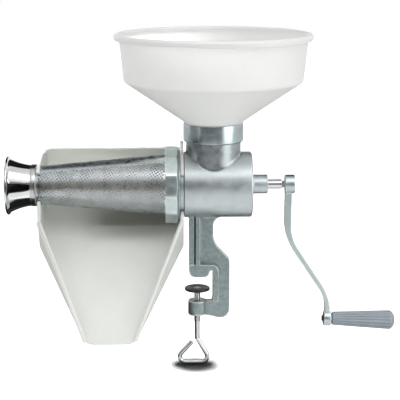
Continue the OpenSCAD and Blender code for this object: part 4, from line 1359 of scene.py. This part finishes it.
@dataclass
class ClampScrew:
    """The clamp's screw with its rolled thread and bent handle, and the swivel pad on it."""

    screw_r: float = 4.9
    pitch: float = 1.5
    shoulder_z: float = -25.8
    thread_len: float = 48.0
    rod_r: float = 3.7
    rod_z: float = -100.8
    loop_z: float = -138.8
    bend: float = 9.0
    pad_z: float = -19.0
    pad_t: float = 6.0
    pad_r: float = 19.2
    rivet_r: float = 3.0
    rivet_head_r: float = 5.4
    tip_r: float = 3.06              # bore for the rivet in the screw's end
    tip_len: float = 9.0
    tooth_foot: float = 0.62         # half the tooth's thickness at its foot
    tooth_crest: float = 0.14
    handle_right: float = 22.0
    handle_left: float = -38.0
    rod_sides: int = 18

    def screw(self) -> None:
        """Makes the screw: a core, the thread wound on it, the plain rod and the handle."""
        bm = bmesh.new()
        root, crest, tip = self.screw_r - 0.75, self.screw_r, self.tip_r
        top, end = self.shoulder_z, self.shoulder_z - self.thread_len
        bottom = top - self.tip_len
        turn_about_z(bm, [(0, bottom), (tip, bottom), (tip, top), (root - 0.5, top), (root, top - 0.6),
                          (root, end), (self.rod_r, end - 1.2), (self.rod_r, self.rod_z), (0, self.rod_z)],
                     steps=40, closed=False)
        tooth = [Vector((r, 0, top - 1.4 + z))
                 for r, z in ((root - 0.4, -self.tooth_foot), (crest, -self.tooth_crest),
                              (crest, self.tooth_crest), (root - 0.4, self.tooth_foot))]
        wind(bm, tooth, Vector(), -Z, -Z * self.pitch, (self.thread_len - 3) / self.pitch, 28)
        path = soften([
            (0, self.rod_z + 8, 0), (0, self.rod_z + 1, 8), (self.handle_right, self.loop_z, self.bend),
            (self.handle_left, self.loop_z, self.bend), (-8, self.rod_z - 4.9, 0)], closed=False, steps=9)
        pull(bm, disc(self.rod_r, self.rod_sides), along([Vector((x, 0, z)) for x, z in path], Y))
        rims = [edge for face in bm.faces if len(face.verts) == self.rod_sides for edge in face.edges]
        bmesh.ops.bevel(bm, geom=rims, offset=0.9, offset_type="OFFSET", segments=2, profile=0.5,
                        affect="EDGES", material=-1)
        settle(bm, "clamp_screw_bar", "screw_body", SCREW_STEEL, ["clamp_screw"], sharp=40)

    def pad(self) -> None:
        """Turns the swivel pad, with grip rings in its face."""
        z, r, back = self.pad_z, self.pad_r, self.pad_z - self.pad_t
        hub, seat = self.rivet_r + 0.4, self.rivet_head_r + 0.4
        rings = []
        for mid in (14.5, 11.5, 8.5):
            rings += [(mid + 0.9, z), (mid + 0.4, z - 0.7), (mid - 0.4, z - 0.7), (mid - 0.9, z)]
        bm = bmesh.new()
        turn_about_z(bm, [
            (hub, back + 0.3), (hub + 0.3, back), (9, back), (r - 1.2, back + 2.2), (r - 0.3, back + 2.6),
            (r, back + 3.2), (r, z - 1), (r - 0.3, z - 0.3), (r - 1, z), *rings, (seat + 0.3, z),
            (seat, z - 0.3), (seat, z - 2.4), (hub, z - 2.4)])
        settle(bm, "pad_disc", "pad_body", BLACKED_STEEL, ["swivel_pad"], sharp=30)

    def rivet(self) -> None:
        """Makes the rivet that the pad swivels on."""
        z, shank, head, end = self.pad_z, self.rivet_r, self.rivet_head_r, self.shoulder_z - 8
        bm = bmesh.new()
        turn_about_z(bm, [(0, end), (shank, end), (shank, z - 1.6), (head - 0.2, z - 1.6), (head, z - 1.4),
                          (head, z - 0.8), (head - 0.8, z - 0.3), (2, z - 0.1), (0, z - 0.1)], steps=48,
                     closed=False)
        settle(bm, "pad_rivet_turned", "pad_carrier", ZINC_STEEL, ["pad_rivet"])

    def make(self) -> None:
        """Builds the clamp."""
        self.screw()
        self.pad()
        self.rivet()


# ---------------------------------------------------------------- studio

UPRIGHT = Matrix.Rotation(math.radians(90), 4, "X")
MIDDLE = Vector((0, 0, 0.14))    # what the lamps and cards stand round


def facing(place: Vector, aim: Vector) -> Matrix:
    """Stands something at one point, its own -Z toward another."""
    return Matrix.Translation(place) @ (aim - place).to_track_quat("-Z", "Y").to_matrix().to_4x4()


def round_object(azimuth: float, elevation: float, distance: float) -> Matrix:
    """Stands something round the object, facing it.

    Args:
        azimuth: degrees round from the front, positive to the right.
        elevation: degrees above the object.
        distance: metres from the object.

    Returns:
        Its place and turn.
    """
    az, el = math.radians(azimuth), math.radians(elevation)
    out = Vector((math.sin(az) * math.cos(el), -math.cos(az) * math.cos(el), math.sin(el)))
    return facing(MIDDLE + out * distance, MIDDLE)


def bare_tree(card: Piece, name: str) -> Tree:
    """Gives a staging piece a material with nothing in it.

    Args:
        card: the piece.
        name: the material's name.

    Returns:
        The material's empty node tree.
    """
    paint = bpy.data.materials.new(name)
    paint.use_nodes = True
    paint.node_tree.nodes.clear()
    card.data.materials.append(paint)
    return paint.node_tree


def background_rays(tree: Tree) -> tuple[Socket, Socket]:
    """Tells the rays that show the background: the camera's, and what metal and plastic pass on.

    Args:
        tree: node tree that takes the nodes.

    Returns:
        1 for those rays and 0 for the rest, and the same for the camera's own.
    """
    path = add_node(tree, "LightPath")
    seen = path.outputs["Is Camera Ray"]
    for kind in ("Is Glossy Ray", "Is Transmission Ray"):
        seen = add_node(tree, "Math", {0: seen, 1: path.outputs[kind]}, operation="MAXIMUM").outputs[0]
    return seen, path.outputs["Is Camera Ray"]


@dataclass
class Studio:
    """Pale floor, soft lights, and the camera."""

    aim: tuple[float, float, float] = (4.275, 0.0, 116.9)
    elevation: float = 12.35
    azimuth: float = 1.5
    distance: float = 1821.0
    focal: float = 109.26
    sensor: float = 36.0
    floor_z: float = -142.7
    world_fill: float = 0.55         # the world's strength as a light
    key_power: float = 8.5
    top_power: float = 3.5
    fill_power: float = 6.0
    rear_power: float = 1.2
    right_power: float = 6.5

    def camera(self) -> None:
        """Sets the camera on its aim point."""
        data = bpy.data.cameras.new("camera")
        data.lens, data.sensor_width = self.focal, self.sensor
        data.clip_start, data.clip_end = 0.05, 50.0
        holder = bpy.data.objects.new("camera", data)
        bpy.context.scene.collection.objects.link(holder)
        az, el = math.radians(self.azimuth), math.radians(self.elevation)
        way = Vector((math.sin(az) * math.cos(el), math.cos(az) * math.cos(el), -math.sin(el)))
        holder.location = (Vector(self.aim) - way * self.distance) * MM
        holder.rotation_euler = way.to_track_quat("-Z", "Y").to_euler()
        bpy.context.scene.camera = holder

    def lamp(self, name: str, place: Matrix, size: Point2, power: float,
             mirrored: bool = False) -> Piece:
        """Hangs a soft box.

        Args:
            name: the lamp's name.
            place: where it hangs, facing along its own -Z.
            size: metres across and up.
            power: watts.
            mirrored: whether polished metal shows it.

        Returns:
            The lamp.
        """
        light = bpy.data.lights.new(name, "AREA")
        light.shape, light.size, light.size_y, light.energy = "RECTANGLE", size[0], size[1], power
        holder = bpy.data.objects.new(name, light)
        bpy.context.scene.collection.objects.link(holder)
        holder.matrix_world = place
        holder.visible_glossy = mirrored
        return holder

    def flag(self, name: str, place: Matrix, size: Point2, grey: str, strength: float = 1.0) -> Piece:
        """Stands a card that only shows in polished metal, as a flag does in a studio.

        Args:
            name: the flag's name.
            place: where it stands, facing along its own -Z.
            size: metres across and up.
            grey: what polished metal shows.
            strength: how much brighter than that it glows.

        Returns:
            The flag.
        """
        bm = bmesh.new()
        bmesh.ops.create_grid(bm, x_segments=1, y_segments=1, size=0.5)
        bmesh.ops.scale(bm, vec=(size[0], size[1], 1), verts=bm.verts)
        bmesh.ops.transform(bm, matrix=place, verts=bm.verts)
        flag = linked(bm, name)
        tree = bare_tree(flag, name)
        glow = add_node(tree, "Emission", {"Color": linear(grey), "Strength": strength})
        add_node(tree, "OutputMaterial", {0: glow.outputs[0]})
        flag.visible_camera = flag.visible_diffuse = flag.visible_shadow = False
        flag.visible_transmission = flag.visible_volume_scatter = False
        return flag

    def floor(self) -> None:
        """Lays the pale floor, white to the eye but for the object's shadow, which is mostly painted: darker
        close to the object and in a soft oval under the clamp.
        """
        bm = bmesh.new()
        bmesh.ops.create_grid(bm, x_segments=1, y_segments=1, size=6.0)
        bmesh.ops.translate(bm, vec=(0, 0, self.floor_z * MM), verts=bm.verts)
        floor = linked(bm, "floor")
        tree = bare_tree(floor, "matt_white_sweep")
        seen, straight = background_rays(tree)
        # A painted contact shadow: the floor darkens where the object comes within 40 mm of it.
        near = add_node(tree, "AmbientOcclusion", {"Distance": 0.04}, samples=16)
        painted_contact_shadow = add_node(tree, "MapRange", {"Value": near.outputs["AO"], "From Min": 0.9,
                                              "From Max": 0.985})
        # A painted shadow: a soft oval under the clamp, about 88 by 72 mm.
        place = add_node(tree, "Mapping", {"Vector": add_node(tree, "TexCoord").outputs["Object"],
                                           "Location": (0.0, 0.34, 0.0), "Scale": (24.0, 29.0, 0.0)})
        away = add_node(tree, "VectorMath", {0: place.outputs[0]}, operation="LENGTH")
        painted_oval_shadow = add_node(tree, "MapRange", {"Value": away.outputs["Value"], "From Min": 0.25,
                                           "From Max": 1.05, "To Min": 0.12}, interpolation_type="SMOOTHSTEP")
        lit = add_node(tree, "Math", {0: painted_contact_shadow.outputs[0], 1: painted_oval_shadow.outputs[0]}, operation="MULTIPLY")
        level = add_node(tree, "MapRange", {"Value": straight, "To Min": 0.2, "To Max": 0.9})
        for factor in (seen, lit.outputs[0]):
            level = add_node(tree, "Math", {0: factor, 1: level.outputs[0]}, operation="MULTIPLY")
        shade = add_node(tree, "Mix", {"Factor": lit.outputs[0], "A": linear("404040"),
                                       "B": linear("e4e4e4")}, data_type="RGBA")
        matt = add_node(tree, "BsdfDiffuse", {"Color": shade.outputs["Result"]})
        glow = add_node(tree, "Emission", {"Color": linear("ffffff"), "Strength": level.outputs[0]})
        both = add_node(tree, "AddShader", {0: matt.outputs[0], 1: glow.outputs[0]})
        add_node(tree, "OutputMaterial", {0: both.outputs[0]})

    def world(self) -> None:
        """Makes the surroundings: white to the eye and to metal, softer as a light."""
        world = bpy.data.worlds.new("studio")
        bpy.context.scene.world = world
        world.use_nodes = True
        tree = world.node_tree
        tree.nodes.clear()
        level = add_node(tree, "MapRange", {"Value": background_rays(tree)[0], "To Min": self.world_fill})
        glow = add_node(tree, "Background", {"Color": linear("ffffff"), "Strength": level.outputs[0]})
        add_node(tree, "OutputWorld", {0: glow.outputs[0]})

    def shade_under_screen(self) -> None:
        """Stands three black flags, unseen themselves, that keep stray light out from under the strainer.

        Each is black only from behind, so that the plastic in front of it keeps its light, and the
        upright ones fade out toward their lower and left edges.
        """
        for name, middle, size in (("front_gobo", (-0.11, -0.012, 0.0855), (0.16, 0.037)),
                                   ("middle_gobo", (-0.11, 0.02, 0.0865), (0.16, 0.037)),
                                   ("top_gobo", (-0.1, 0.052, 0.15), (0.15, 0.034))):
            stands = name != "top_gobo"
            place = Matrix.Translation(middle) @ (UPRIGHT if stands else Matrix())
            flag = self.flag(name, place, size, "000000")
            flag.visible_glossy = False
            flag.visible_diffuse = flag.visible_shadow = True
            tree = flag.data.materials[0].node_tree
            black = add_node(tree, "NewGeometry").outputs["Backfacing"]
            if stands:
                where = add_node(tree, "SeparateXYZ", {0: add_node(tree, "TexCoord").outputs["Object"]})
                for axis, clear_at, black_at in ((2, 0.067, 0.08), (0, -0.19, -0.12)):
                    fade = add_node(tree, "MapRange", {0: where.outputs[axis], 1: clear_at, 2: black_at},
                                    interpolation_type="SMOOTHSTEP")
                    black = add_node(tree, "Math", {0: black, 1: fade.outputs[0]},
                                     operation="MULTIPLY").outputs[0]
            clear = add_node(tree, "BsdfTransparent").outputs[0]
            mixed = add_node(tree, "MixShader", {0: black, 1: clear, 2: tree.nodes["Emission"].outputs[0]})
            tree.links.new(mixed.outputs[0], tree.nodes["Material Output"].inputs[0])

    def make(self) -> None:
        """Sets up the studio."""
        self.camera()
        self.floor()
        self.world()
        self.lamp("key_box", round_object(22, 55, 1.6), (1.8, 0.85), self.key_power)
        self.lamp("top_box", round_object(0, 86, 1.6), (1.4, 1.0), self.top_power)
        self.lamp("fill_box", round_object(-42, 18, 2.0), (1.6, 1.2), self.fill_power)
        self.lamp("right_box", round_object(58, 6, 1.6), (1.0, 1.1), self.right_power, mirrored=True)
        # The light of this small box comes through the chute's thin back wall.
        rear = self.lamp("rear_box", facing(Vector((-0.25, 0.42, 0.34)), Vector((-0.16, 0.05, 0.18))),
                         (0.25, 0.25), self.rear_power)
        rear.data.spread, rear.visible_camera = math.radians(60), False
        self.shade_under_screen()
        for name, side, size, grey, strength in (
                ("key_card", (22, 55, 1.6), (1.8, 0.85), "ffffff", 2.5),
                ("front_flag", (-22, 7, 1.15), (1.35, 0.83), "787a7b", 1.0),
                ("front_card", (21, 7, 1.16), (0.52, 0.83), "7c7e7f", 1.0),
                ("left_card", (-80, 0, 1.2), (0.9, 1.0), "9c9c9c", 1.0),
                ("left_flag", (-80, 42, 1.2), (1.2, 0.55), "1c1d1e", 1.0),
                ("top_card", (180, 85.5, 1.25), (1.9, 0.55), "eceded", 1.0),
                ("rear_flag", (180, 46, 1.6), (2.6, 1.42), "1c1d1e", 1.0)):
            self.flag(name, round_object(*side), size, grey, strength)
        self.flag("under_flag", Matrix.Translation((-0.05, 0.57, -0.138)), (1.2, 1.0), "3c3d3d")
        end_on = Matrix.Rotation(math.radians(90), 4, "Z") @ UPRIGHT
        self.flag("flare_side_flag", Matrix.Translation((-0.2384, -0.157, 0.14)) @ end_on, (0.246, 0.05),
                  "080909")
        self.flag("screw_side_flag", Matrix.Translation((-0.25, -0.02, -0.1375)), (0.4, 0.3), "1c1d1e")
        bpy.context.scene.view_settings.view_transform = "Standard"


def main() -> None:
    """Builds the mill, piece by piece, and the studio round it."""
    Studio().make()
    MillBody().make()
    Hopper().make()
    strainer = Strainer()
    strainer.make()
    RingNut().make()
    Chute().make()
    crank = Crank(strainer)
    crank.make()
    Grip(crank).make()
    ClampScrew().make()


if __name__ == "__main__":
    main()
